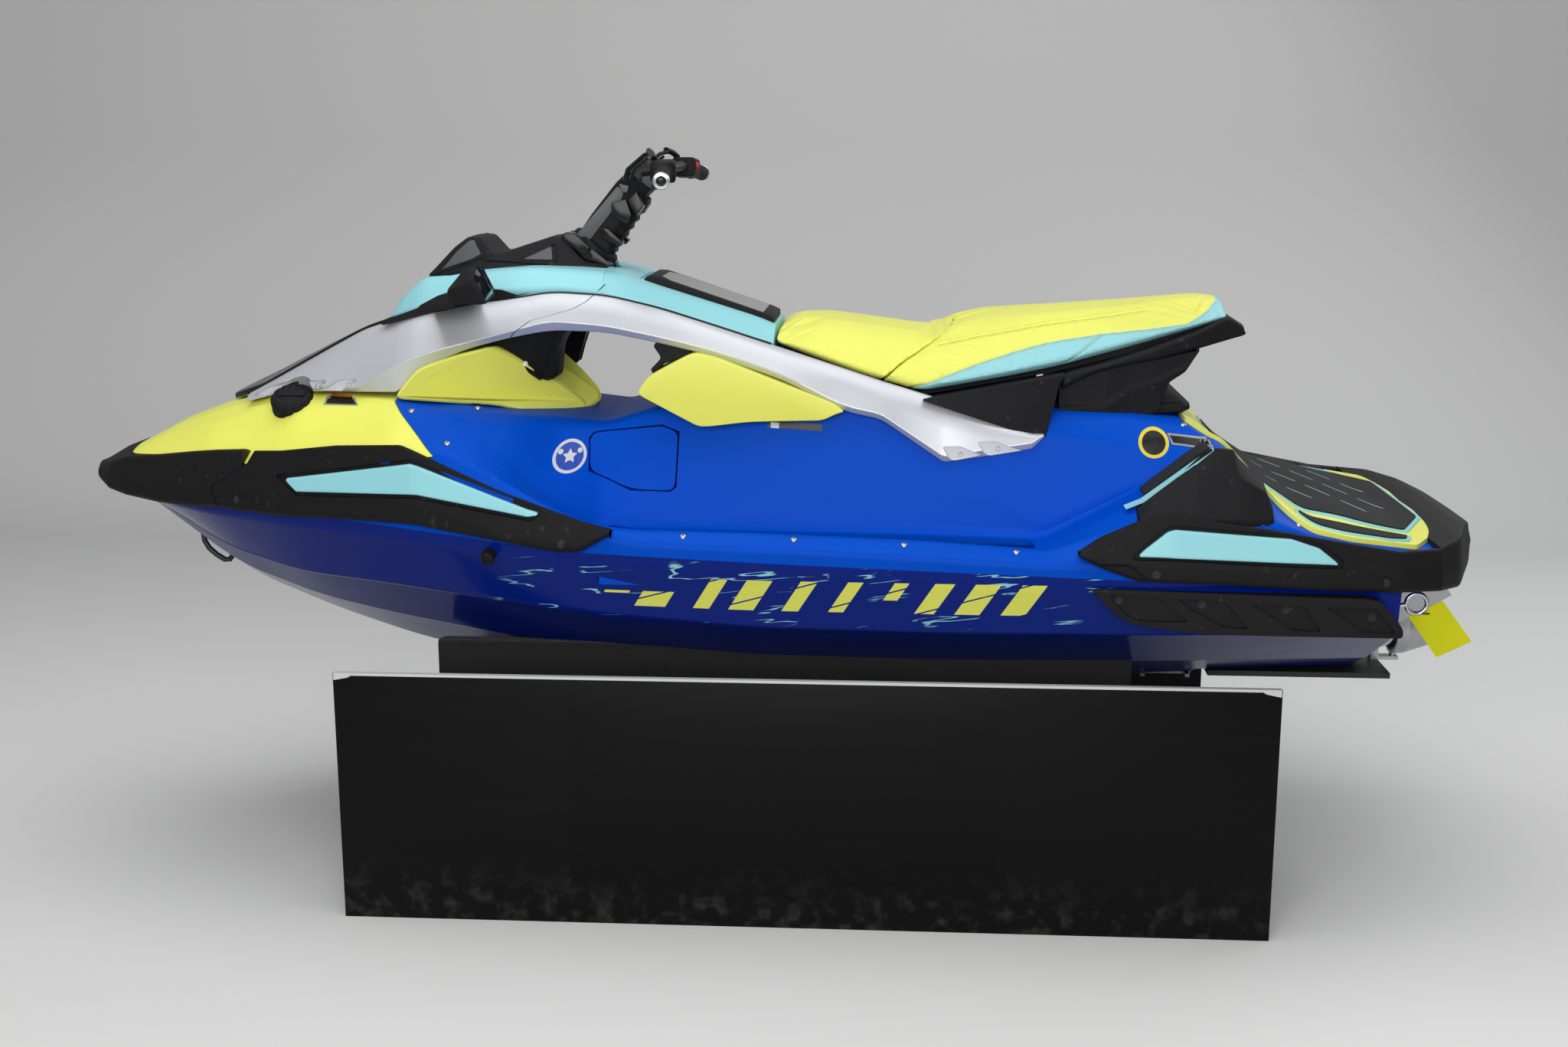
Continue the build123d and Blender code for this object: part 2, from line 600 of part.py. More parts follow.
mat_edge = [(-1010, 285), (-1060, 320), (-1205, 332), (-1343, 325), (-1400, 200)]
with BuildPart() as rear_deck_mat:
    add(raised_deck(tray_wall + mat_thickness, mat_edge, -1010, -1400))
    add(raised_deck(tray_wall, mat_edge, -1010, -1400), mode=Mode.SUBTRACT)
write(rear_deck_mat, "rear_deck_mat")

with BuildPart() as footwell_mats:
    with BuildSketch(Plane.XY.offset(fz(well_floor))):
        with BuildLine():
            Polyline((fx(285), fy(470)), (fx(255), fy(345)), (fx(-568), fy(360)), (fx(-568), fy(470)), close=True)
        make_face()
    extrude(amount=mat_thickness)
    add(side_prism([(-640, 800), (-782, 895), (-915, 1005), (-928, 1020 + mat_thickness),
                    (-782, 914 + mat_thickness), (-640, 822 + mat_thickness)], 335, 420))
    mirror(about=Plane.XZ)
    add(deck_solid, mode=Mode.SUBTRACT)
    add(foot_wedges.part, mode=Mode.SUBTRACT)
write(footwell_mats, "footwell_mats")

# ---------------------------------------------------------------- seat
cushion_lines = [  # x, underside, lower side, shoulder, crown
    (-45, 1199, (186, 1210), (140, 1240), 1244), (-110, 1178, (211, 1192), (150, 1246), 1252),
    (-213, 1144, (233, 1160), (150, 1234), 1240), (-340, 1112, (252, 1128), (158, 1216), 1222),
    (-374, 1119, (260, 1134), (150, 1224), 1232), (-420, 1127, (262, 1142), (130, 1248), 1256),
    (-535, 1148, (262, 1166), (140, 1256), 1262), (-629, 1166, (246, 1184), (130, 1262), 1268),
    (-800, 1208, (205, 1226), (110, 1276), 1282), (-940, 1244, (160, 1256), (90, 1290), 1296),
    (-998, 1258, (122, 1266), (60, 1291), 1297)]
cushion_solid = full_loft([
    (x, [(side[0] - 22, low), side, shoulder, (0, crown)]) for x, low, side, shoulder, crown in cushion_lines])
seat_split = side_prism([(-374, 1300), (-285, 1000), (-1200, 1000), (-1200, 1400), (-374, 1400)], -400, 400)
with BuildPart() as seat_front_cushion:
    add(cushion_solid)
    add(seat_split, mode=Mode.SUBTRACT)
write(seat_front_cushion, "seat_front_cushion")
with BuildPart() as seat_bolster:
    add(cushion_solid & seat_split)
write(seat_bolster, "seat_bolster")
with BuildPart() as seat_base:
    add(full_loft([
        (x, [(min(side[0] - 26, 198), low - seat_base_wall), (min(side[0] - 26, 198), low)])
        for x, low, side, shoulder, crown in cushion_lines]))
write(seat_base, "seat_base")

# ---------------------------------------------------------------- handlebar
with BuildPart() as steering_column:
    with BuildSketch(steer_plane(collar_low)):
        Circle(collar_radius)
    extrude(amount=collar_high - collar_low)
    with BuildSketch(steer_plane(collar_high)):
        RectangleRounded(column_width, column_depth, 18)
    extrude(amount=column_high - collar_high)
    with BuildSketch(steer_plane(collar_low)):
        Circle(steer_shaft_radius)
    extrude(amount=-steer_shaft_length)
write(steering_column, "steering_column")

bar_centre = steer_low + steer_axis * (column_high + bar_radius + 8)
bar_bend = at(222, 150, 1574)
bar_end = at(203, 376, 1553)
with BuildPart() as handlebar:
    with BuildSketch(steer_plane(column_high)):
        RectangleRounded(130, 70, 12)
    extrude(amount=52)
    for side in (1, -1):
        bend = Vector(bar_bend.X, side * bar_bend.Y, bar_bend.Z)
        end = Vector(bar_end.X, side * bar_end.Y, bar_end.Z)
        add(rod(bar_centre, bend, bar_radius))
        add(rod(bend, end, bar_radius))
        with Locations(bend):
            Sphere(bar_radius)
write(handlebar, "handlebar")

bar_line = (bar_end - bar_bend).normalized()
with BuildPart() as grips:
    add(rod(bar_end - bar_line * grip_length, bar_end - bar_line * 6, grip_radius, bar_radius))
    mirror(about=Plane.XZ)
write(grips, "grips")
with BuildPart() as bar_ends:
    add(rod(bar_end - bar_line * 6, bar_end + bar_line * 4, grip_radius - 1, bar_radius))
    add(rod(bar_end, bar_end + bar_line * 10, bar_radius + 2))
    mirror(about=Plane.XZ)
write(bar_ends, "bar_ends")
pod_start = bar_end - bar_line * (grip_length + pod_gap + pod_length)
with BuildPart() as switch_pods:
    with BuildSketch(Plane(origin=pod_start, x_dir=(1, 0, 0), z_dir=bar_line)):
        RectangleRounded(56, 46, 10)
        Circle(bar_radius, mode=Mode.SUBTRACT)
    extrude(amount=pod_length)
    add(rod(pod_start + bar_line * 26 + Vector(30, 0, -4), pod_start + bar_line * 126 + Vector(46, 0, -8), 5))
    add(handlebar.part, mode=Mode.SUBTRACT)
    mirror(about=Plane.XZ)
write(switch_pods, "switch_pods")

with BuildPart() as mirrors:
    add(side_prism([(672, 1315), (658, 1332), (591, 1381), (564, 1386), (539, 1335), (558, 1304), (602, 1301),
                    (640, 1304)], 290, 385))
    add(side_prism([(720, 1276), (718, 1298), (664, 1322), (640, 1322), (606, 1302), (650, 1288)], 168, 300))
    mirror(about=Plane.XZ)
    add(shroud_solid, mode=Mode.SUBTRACT)
    add(arch_front_panels, mode=Mode.SUBTRACT)
write(mirrors, "mirrors")

# ---------------------------------------------------------------- fittings on hull and deck
with BuildPart() as fuel_cap:
    add(rod(at(1024, 188, 1064), at(1024, 188, 1064) + Vector(0, 0.5, 0.866) * (cap_height + 14), cap_radius))
    add(deck_solid, mode=Mode.SUBTRACT)
    add(arch_front_panels, mode=Mode.SUBTRACT)
write(fuel_cap, "fuel_cap")

with BuildPart() as sponsons:
    add(side_prism([(-686, 757), (-712, 760), (-1221, 746), (-1252, 742), (-1298, 690), (-1298, 668),
                    (-746, 693), (-710, 725)], 440, 542))
    mirror(about=Plane.XZ)
    add(hull_solid, mode=Mode.SUBTRACT)
    add(rear_bumpers, mode=Mode.SUBTRACT)
    add(deck_solid, mode=Mode.SUBTRACT)
write(sponsons, "sponsons")


def tow_eye(centre, toward, hole):
    """Round eye with a hole across the craft and a shank to its seat."""
    line = toward - centre
    face = Plane(origin=centre - Vector(0, eye_thickness / 2, 0), x_dir=(1, 0, 0), z_dir=(0, 1, 0))
    with BuildPart() as eye:
        with BuildSketch(face):
            Circle(hole + eye_rim)
        extrude(amount=eye_thickness)
        add(rod(centre + line.normalized() * (hole + eye_rim / 2), toward, eye_thickness / 2))
        with BuildSketch(face):
            Circle(hole)
        extrude(amount=eye_thickness, mode=Mode.SUBTRACT)
    return eye.part


stern_eye_y = 420
stern_eye_centre = at(-1352, stern_eye_y, 710)
with BuildPart() as tow_eyes:
    add(tow_eye(at(1318, 0, 688), at(1262, 0, 720), bow_eye_hole))
    add(tow_eye(stern_eye_centre, at(-1292, stern_eye_y, 702), stern_eye_hole))
    add(tow_eye(at(-1352, -stern_eye_y, 710), at(-1292, -stern_eye_y, 702), stern_eye_hole))
    add(hull_solid, mode=Mode.SUBTRACT)
write(tow_eyes, "tow_eyes")

tag_face = stern_eye_centre.Y - eye_thickness / 2 - seam
with BuildPart() as stern_tag:
    with BuildSketch(Plane(origin=(stern_eye_centre.X - 50, tag_face, stern_eye_centre.Z - 54),
                           x_dir=(0.9, 0, -0.43), z_dir=(0, -1, 0))):
        Rectangle(tag_width, tag_height)
    extrude(amount=tag_thickness)
write(stern_tag, "stern_tag")

with BuildPart() as hull_outlet:
    add(rod(at(550, 440, 792), at(550, 520, 780), 15))
    mirror(about=Plane.XZ)
    add(hull_solid, mode=Mode.SUBTRACT)
    add(front_bumpers, mode=Mode.SUBTRACT)
write(hull_outlet, "hull_outlet")

plate_top = fz(pump_z) - max(arm_height + arm_wall / 2, duct_radius + pump_wall) - seam
with BuildPart() as ride_plate:
    with Locations((fx(-1190), 0, plate_top - plate_thickness / 2)):
        Box(fx(400), 2 * tunnel_half_width, plate_thickness)
write(ride_plate, "ride_plate")

with BuildPart() as intake_grate:
    for i in range(5):
        y = -60 + 30 * i
        add(box_between((-960, y - 4, 448), (-765, y + 4, 456)))
    for x in (-950, -850, -780):
        add(box_between((x - 5, -92, 448), (x + 5, 92, 456)))
    add(hull_solid - intake, mode=Mode.SUBTRACT)
write(intake_grate, "intake_grate")

# ---------------------------------------------------------------- jet pump
pump_rear = -1340.0
jet_mouth = -1412.0
jet_radius = nozzle_bore / 2
wall = 7.0
pump_axis = Plane(origin=(0, 0, fz(pump_z)), x_dir=(1, 0, 0), z_dir=(0, -1, 0))
bucket_pin = fx(-1366)
nozzle_pin = fx(-1424)


def turned(points):
    """Solid turned about the pump's axis from an outline of (x, radius), real sizes."""
    with BuildPart() as body:
        with BuildSketch(pump_axis):
            with BuildLine():
                Polyline(*points, close=True)
            make_face()
        revolve(axis=Axis((0, 0, fz(pump_z)), (1, 0, 0)))
    return body.part


impeller_front = fx(-1050)
impeller_back = fx(-1130)
nozzle_front = 66.0          # inner radius of the steering nozzle where it swivels over the outlet
bucket_outside = cheek + 14

with BuildPart() as pump_housing:
    add(turned([(fx(pump_front), duct_radius), (fx(pump_front), duct_radius + pump_wall),
                (fx(-1330), duct_radius + pump_wall), (fx(-1388), jet_radius + wall + 6),
                (fx(jet_mouth), jet_radius + wall), (fx(jet_mouth), jet_radius), (fx(-1385), jet_radius),
                (fx(-1325), duct_radius)]))
    add(turned([(fx(-962), 0), (fx(-962), shaft_radius), (impeller_front + 5, shaft_radius),
                (impeller_front + 5, 0)]))
    with Locations((fx(pump_front) - 10, 0, fz(pump_z))):
        Box(16, 6, pump_bore + 6)
    add(turned([(impeller_back - 5, 0), (impeller_back - 5, hub_radius), (fx(-1290), hub_radius),
                (fx(-1370), 8), (fx(-1370), 0)]))
    for i in range(6):
        with Locations(Location((fx(-1230), 0, fz(pump_z)), (i * 60 + 30, 0, 0))):
            Box(110, 5, duct_radius + 3, align=(Align.CENTER, Align.CENTER, Align.MIN))
    for side in (1, -1):
        add(rod((bucket_pin, side * (jet_radius + 14), fz(pump_z)),
                (bucket_pin, side * bucket_outside, fz(pump_z)), pivot_radius))
        with Locations((nozzle_pin + 42, 0, fz(pump_z) + side * (arm_height - 13))):
            Box(16, 26, 34)
        with Locations((nozzle_pin + 20, 0, fz(pump_z) + side * arm_height)):
            Box(62, 26, arm_wall)
        add(rod((nozzle_pin, 0, fz(pump_z) + side * arm_height), (nozzle_pin, 0, fz(pump_z) + side * 67),
                pivot_radius))
        mount_inside = duct_radius + pump_wall / 2
        with Locations((fx(-1130), side * (mount_inside + tunnel_half_width) / 2, fz(pump_z))):
            Box(300, tunnel_half_width - mount_inside, 24)
write(pump_housing, "pump_housing")

with BuildPart() as impeller:
    add(turned([(impeller_front, 0), (impeller_front, hub_radius - 8), (impeller_back, hub_radius),
                (impeller_back, 0)]))
    blade_space = turned([(impeller_front, 0), (impeller_front, duct_radius - blade_clearance),
                          (impeller_back, duct_radius - blade_clearance), (impeller_back, 0)])
    for i in range(4):
        with BuildPart(mode=Mode.PRIVATE) as blade:
            with Locations(Location(((impeller_front + impeller_back) / 2, 0, fz(pump_z)), (i * 90, 0, 0))):
                with Locations(Location((0, 0, 0), (0, 0, 38))):
                    Box(96, 6, pump_bore / 2 + 10, align=(Align.CENTER, Align.CENTER, Align.MIN))
        add(blade.part & blade_space)
write(impeller, "impeller")

nozzle_end = fx(-1510)
with BuildPart() as steering_nozzle:
    add(turned([(nozzle_pin + 8, nozzle_front), (nozzle_pin + 8, nozzle_front + wall),
                (nozzle_pin - 16, nozzle_front + wall - 1), (nozzle_end, jet_radius + wall),
                (nozzle_end, jet_radius), (nozzle_pin - 16, nozzle_front - 4)]))
    with Locations((nozzle_pin, 0, fz(pump_z))):
        Cylinder(pivot_radius + pin_clearance, 200, mode=Mode.SUBTRACT)
write(steering_nozzle, "steering_nozzle")

bucket_angles = (30, 95)     # spread of the stowed bucket above the line aft of its pins


def bucket_point(angle, radius):
    """Point about the bucket pins, angle up from dead aft."""
    return (bucket_pin - radius * math.cos(math.radians(angle)), fz(pump_z) + radius * math.sin(math.radians(angle)))


def bucket_sector(inner, outer, y_high, y_low):
    """Sector about the bucket pins between two radii and two breadths."""
    first, last = bucket_angles
    middle = (first + last) / 2
    with BuildPart() as body:
        with BuildSketch(Plane.XZ.offset(-y_high)):
            with BuildLine():
                ThreePointArc(bucket_point(first, outer), bucket_point(middle, outer), bucket_point(last, outer))
                Line(bucket_point(last, outer), bucket_point(last, inner))
                ThreePointArc(bucket_point(last, inner), bucket_point(middle, inner), bucket_point(first, inner))
                Line(bucket_point(first, inner), bucket_point(first, outer))
            make_face()
        extrude(amount=y_high - y_low)
    return body.part


with BuildPart() as reverse_bucket:
    outside = cheek + bucket_wall
    add(bucket_sector(bucket_radius, bucket_radius + bucket_wall, outside, -outside))
    for low in (cheek, -outside):
        add(bucket_sector(30, bucket_radius + 1, low + bucket_wall, low))
        add(rod((bucket_pin, low, fz(pump_z)), (bucket_pin, low + bucket_wall, fz(pump_z)), 34))
    with Locations(Location((bucket_pin, 0, fz(pump_z)), (90, 0, 0))):
        Cylinder(pivot_radius + pin_clearance, 400, mode=Mode.SUBTRACT)
write(reverse_bucket, "reverse_bucket")

# ---------------------------------------------------------------- stand
stand_x = -98.0              # middle of the skirt along the craft
with BuildPart() as plinth_skirt:
    for side in (1, -1):
        with Locations((fx(stand_x), side * (skirt_half_width - skirt_wall / 2), skirt_height / 2)):
            Box(skirt_length, skirt_wall, skirt_height)
write(plinth_skirt, "plinth_skirt")

with BuildPart() as plinth_bunks:
    for side in (1, -1):
        with Locations((fx(-43), side * bunk_spacing, (beam_top + 640) / 2)):
            Box(bunk_length, bunk_width, 640 - beam_top)
    add(hull_solid, mode=Mode.SUBTRACT)
    add(box_between((-2000, -600, 560), (2000, 600, 900)), mode=Mode.SUBTRACT)
write(plinth_bunks, "plinth_bunks")

leg_y = skirt_half_width - skirt_wall - leg_side / 2
with BuildPart() as plinth_frame:
    for x in (fx(stand_x + 560), fx(stand_x - 560)):
        with Locations((x, 0, beam_top - leg_side / 2)):
            Box(leg_side, 2 * leg_y, leg_side)
        for side in (1, -1):
            with Locations((x, side * leg_y, leg_top / 2)):
                Box(leg_side, leg_side, leg_top)
write(plinth_frame, "plinth_frame")
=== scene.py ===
import math

import bmesh
import bpy
import numpy as np
from mathutils import Matrix, Vector
from mathutils.bvhtree import BVHTree
from mathutils.kdtree import KDTree


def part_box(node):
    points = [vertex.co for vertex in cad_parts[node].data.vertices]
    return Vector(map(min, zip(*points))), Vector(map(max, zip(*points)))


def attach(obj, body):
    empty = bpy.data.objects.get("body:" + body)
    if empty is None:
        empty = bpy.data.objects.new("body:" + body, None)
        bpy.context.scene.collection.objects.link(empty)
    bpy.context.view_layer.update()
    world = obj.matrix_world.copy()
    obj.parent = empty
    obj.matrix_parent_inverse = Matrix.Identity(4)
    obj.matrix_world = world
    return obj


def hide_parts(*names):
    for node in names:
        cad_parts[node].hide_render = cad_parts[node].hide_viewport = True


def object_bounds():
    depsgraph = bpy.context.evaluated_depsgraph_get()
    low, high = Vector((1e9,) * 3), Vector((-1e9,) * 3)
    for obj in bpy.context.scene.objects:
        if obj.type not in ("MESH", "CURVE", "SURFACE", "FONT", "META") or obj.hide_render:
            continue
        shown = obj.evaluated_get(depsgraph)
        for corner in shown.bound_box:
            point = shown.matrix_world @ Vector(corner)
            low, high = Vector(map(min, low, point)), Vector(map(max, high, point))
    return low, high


bl_info = {
    "name": "Personal Watercraft",
    "version": (1, 0, 0),
    "blender": (4, 5, 0),
    "location": "View3D > Sidebar > Watercraft",
    "description": "Builds a sit-down personal watercraft with its display stand, piece by piece",
    "category": "Object",
}

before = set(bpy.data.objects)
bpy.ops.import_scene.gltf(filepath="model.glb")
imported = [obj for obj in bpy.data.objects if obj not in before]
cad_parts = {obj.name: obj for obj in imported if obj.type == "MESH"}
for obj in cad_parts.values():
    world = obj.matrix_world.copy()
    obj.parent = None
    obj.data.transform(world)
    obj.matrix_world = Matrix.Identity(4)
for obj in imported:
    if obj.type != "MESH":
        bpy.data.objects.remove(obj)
cad_low, cad_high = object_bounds()
STRETCH = (cad_high.x - cad_low.x) / 3.140        # the tables below are drawn for a craft 3140 long


# ---------------------------------------------------------------- colours
def linear(colour):
    """Scene-linear colour of a display colour given from 0 to 255."""
    return tuple((c / 255 / 12.92) if c <= 10 else ((c / 255 + 0.055) / 1.055) ** 2.4 for c in colour)


def colour_prop(name, text, colour):
    return bpy.props.FloatVectorProperty(name=name, description=text, subtype="COLOR", size=3, min=0.0, max=1.0,
                                         default=linear(colour))


class WatercraftColours(bpy.types.PropertyGroup):
    """Colours of the mouldings, the seat and the stand"""
    deck: colour_prop("Deck", "Satin blue of the deck moulding", (0, 76, 196))
    # The hull's blue is its own blue darkened: painted shade for the hull lying in shade below the belt.
    hull: colour_prop("Hull", "Gloss blue of the hull below the belt", (0, 32, 128))
    shell: colour_prop("Shell", "Yellow of the cowl, pods, rear tray and seat", (238, 240, 104))
    accent: colour_prop("Accent", "Pale cyan of the shroud, inserts and seat sides", (150, 215, 224))
    arch: colour_prop("Arch", "Silver paint of the arch", (198, 201, 207))
    trim: colour_prop("Trim", "Black of the moulded trim", (31, 31, 33))
    tag: colour_prop("Tag", "Yellow of the plastic tag at the stern eye", (216, 216, 12))
    stand: colour_prop("Stand", "Black of the stand's panels", (9, 9, 10))


class WatercraftSizes(bpy.types.PropertyGroup):
    """Small sizes that a maker might change"""
    screw: bpy.props.FloatProperty(name="Screw Head", description="Radius of a deck screw's head", unit="LENGTH",
                                   subtype="DISTANCE", default=0.0072, min=0.003, max=0.015)
    stitch: bpy.props.FloatProperty(name="Stitch", description="Length of one stitch on the seat", unit="LENGTH",
                                    subtype="DISTANCE", default=0.0042, min=0.002, max=0.01)
    stitch_gap: bpy.props.FloatProperty(name="Stitch Pitch", description="Distance from stitch to stitch",
                                        unit="LENGTH", subtype="DISTANCE", default=0.0062, min=0.003, max=0.02)
    pressure: bpy.props.FloatProperty(name="Cushion Pressure", description="How hard the foam pushes its cover",
                                      default=4.0, min=0.0, max=12.0)
    ribs: bpy.props.IntProperty(name="Bellows Ribs", description="Ribs on the rubber boot of the column",
                                default=7, min=3, max=14)


# ---------------------------------------------------------------- node trees
class Value:
    """A socket that takes part in arithmetic; each operation adds its Math node."""

    def __init__(self, tree, socket):
        self.tree, self.socket = tree, socket

    def maths(self, operation, first, second=None):
        inputs = {0: first} if second is None else {0: first, 1: second}
        return self.tree.node("ShaderNodeMath", {"operation": operation}, inputs)[0]

    def __add__(self, other):
        return self.maths("ADD", self, other)

    def __radd__(self, other):
        return self.maths("ADD", other, self)

    def __sub__(self, other):
        return self.maths("SUBTRACT", self, other)

    def __rsub__(self, other):
        return self.maths("SUBTRACT", other, self)

    def __mul__(self, other):
        return self.maths("MULTIPLY", self, other)

    def __rmul__(self, other):
        return self.maths("MULTIPLY", other, self)

    def __truediv__(self, other):
        return self.maths("DIVIDE", self, other)

    def __rtruediv__(self, other):
        return self.maths("DIVIDE", other, self)

    def most(self, other):
        return self.maths("MAXIMUM", self, other)

    def size(self):
        return self.maths("ABSOLUTE", self)

    def step(self, low, high):
        """0 below low and 1 above high, smooth between."""
        return self.tree.node("ShaderNodeMapRange", {"interpolation_type": "SMOOTHSTEP"},
                              {"Value": self, "From Min": low, "From Max": high})[0]


class Node:
    """A node whose outputs are taken by name or number."""

    def __init__(self, tree, node):
        self.tree, self.made = tree, node

    def __getitem__(self, key):
        return Value(self.tree, self.made.outputs[key])


class Tree:
    """A node tree and the one method that adds to it."""

    def __init__(self, tree):
        self.tree = tree

    def node(self, kind, settings=None, inputs=None):
        made = self.tree.nodes.new(kind)
        for name, value in (settings or {}).items():
            if name == "stops":
                ramp = made.color_ramp
                while len(ramp.elements) < len(value):
                    ramp.elements.new(0.5)
                for element, (place, colour) in zip(ramp.elements, value):
                    element.position = place
                    element.color = (*colour, 1.0) if len(colour) == 3 else colour
            elif name == "curve":
                points = made.mapping.curves[0].points
                while len(points) < len(value):
                    points.new(0.5, 0.5)
                for point, place in zip(points, value):
                    point.location = place
                    point.handle_type = "VECTOR"
                made.mapping.update()
            else:
                setattr(made, name, value)
        for key, value in (inputs or {}).items():
            socket = made.inputs[key]
            if isinstance(value, Node):
                value = value[0]
            if isinstance(value, Value):
                self.tree.links.new(value.socket, socket)
            elif socket.type == "RGBA" and len(value) == 3:
                socket.default_value = (*value, 1.0)
            else:
                socket.default_value = value
        return Node(self, made)


class Finish(Tree):
    """A surface finish: a Principled shader with whatever its nodes give it."""

    def __init__(self, name):
        packed = bpy.data.materials.get(name)
        if packed:
            packed.name = "packed_" + name
        self.material = bpy.data.materials.new(name)
        self.material.use_nodes = True
        super().__init__(self.material.node_tree)
        self.tree.nodes.clear()
        self.place = self.node("ShaderNodeTexCoord")["Object"]

    def axes(self):
        apart = self.node("ShaderNodeSeparateXYZ", inputs={"Vector": self.place})
        return apart["X"], apart["Y"], apart["Z"]

    def noise(self, scale, detail=3.0, stretch=(1, 1, 1), distort=0.0):
        where = self.place
        if stretch != (1, 1, 1):
            where = self.node("ShaderNodeMapping", inputs={"Vector": where, "Scale": stretch})[0]
        return self.node("ShaderNodeTexNoise", inputs={
            "Vector": where, "Scale": scale, "Detail": detail, "Distortion": distort})[0]

    def cells(self, scale, feature="F1", stretch=(1, 1, 1)):
        where = self.place
        if stretch != (1, 1, 1):
            where = self.node("ShaderNodeMapping", inputs={"Vector": where, "Scale": stretch})[0]
        return self.node("ShaderNodeTexVoronoi", {"feature": feature}, {"Vector": where, "Scale": scale})[0]

    def blend(self, factor, first, second):
        made = self.node("ShaderNodeMix", {"data_type": "RGBA"}, {0: factor, 6: first, 7: second})
        return made[2]

    def bump(self, height, distance, strength=1.0, under=None):
        inputs = {"Height": height, "Distance": distance, "Strength": strength}
        if under is not None:
            inputs["Normal"] = under
        return self.node("ShaderNodeBump", inputs=inputs)["Normal"]

    def done(self, **sockets):
        names = {key.replace("_", " ").title(): value for key, value in sockets.items()}
        names = {{"Ior": "IOR", "Specular Level": "Specular IOR Level"}.get(k, k): v for k, v in names.items()}
        shader = self.node("ShaderNodeBsdfPrincipled", inputs=names)
        self.node("ShaderNodeOutputMaterial", inputs={"Surface": shader})
        return self.material


def shade(colour, factor):
    """The same colour, lighter or darker."""
    return tuple(min(1.0, c * factor) for c in colour)


def moulded(name, colour, rough, grain, height, spread=0.05, shine=0.3, dusty=0.06):
    """Moulded plastic or composite: fine grain, faint mottling and a slightly uneven gloss."""
    f = Finish(name)
    mottle = f.noise(9.0, 4.0)
    fine = f.noise(grain, 2.0)
    dust = f.noise(60.0, 5.0)
    base = f.blend(mottle, shade(colour, 1 - spread), shade(colour, 1 + spread))
    base = f.blend(dust.step(0.62, 0.8) * dusty, base, (0.55, 0.55, 0.56))
    return f.done(base_color=base, roughness=rough - 0.05 + 0.1 * mottle, specular_level=shine,
                  normal=f.bump(fine, height))


def metal(name, colour, rough, scratch, metallic=1.0, stretch=(1, 1, 1)):
    """Bare or painted metal with fine marks along one direction."""
    f = Finish(name)
    marks = f.noise(scratch, 4.0, stretch)
    cloud = f.noise(14.0, 3.0)
    base = f.blend(cloud, shade(colour, 0.88), shade(colour, 1.06))
    return f.done(base_color=base, metallic=metallic, roughness=rough + (marks - 0.5) * 0.16,
                  normal=f.bump(marks, 0.00012))


# ---------------------------------------------------------------- lines and forms, tables in millimetres
def faired(xs, line, soft):
    """Values along x of a line of (x, value) points, its corners rounded over soft to each side."""
    line = sorted(line)
    px = np.array([p[0] for p in line], float)
    pv = np.array([p[1] for p in line], float)
    total = np.zeros(len(xs))
    reach = np.minimum(soft, np.minimum(xs - px[0], px[-1] - xs).clip(0))
    steps = np.linspace(-1, 1, 9)
    for s in steps:
        total += np.interp(xs + reach * s, px, pv)
    return total / len(steps)


def along(x, line, soft=0.0):
    return float(faired(np.array([float(x)]), line, soft)[0])


def rounded(ring, radii, turns=3):
    """Closed ring of points with its corners rounded and a support point beside each."""
    count = len(ring)
    made = []
    for i, corner in enumerate(ring):
        radius = radii[i]
        if radius <= 0:
            made.append(corner)
            continue
        before, after = ring[i - 1] - corner, ring[(i + 1) % count] - corner
        a, b = before.length, after.length
        first = before / a * min(radius, a * 0.42) if a > 1e-6 else before
        second = after / b * min(radius, b * 0.42) if b > 1e-6 else after
        made.append(corner + first * 1.16)
        for k in range(turns + 1):
            t = k / turns
            made.append(corner + first * (1 - t) ** 2 + second * t ** 2)
        made.append(corner + second * 1.16)
    return made


def new_object(name, mesh):
    thing = bpy.data.objects.new(name, mesh)
    bpy.context.scene.collection.objects.link(thing)
    return thing


def from_bmesh(name, bm, outward=True):
    if outward:
        bmesh.ops.recalc_face_normals(bm, faces=bm.faces)
    mesh = bpy.data.meshes.new(name)
    bm.to_mesh(mesh)
    bm.free()
    return new_object(name, mesh)


def from_rings(name, rings, caps=True, closed=True):
    """Closed skin over rings of equal count, points in millimetres."""
    bm = bmesh.new()
    rows = [[bm.verts.new((p[0] * 0.001 * STRETCH, p[1] * 0.001, p[2] * 0.001)) for p in ring] for ring in rings]
    count = len(rows[0])
    for row, following in zip(rows, rows[1:]):
        for i in range(count if closed else count - 1):
            j = (i + 1) % count
            bm.faces.new((row[i], row[j], following[j], following[i]))
    if caps:
        bm.faces.new(rows[0])
        bm.faces.new(list(reversed(rows[-1])))
    bmesh.ops.remove_doubles(bm, verts=bm.verts, dist=1e-6)
    bmesh.ops.dissolve_degenerate(bm, edges=bm.edges, dist=1e-7)
    return from_bmesh(name, bm)


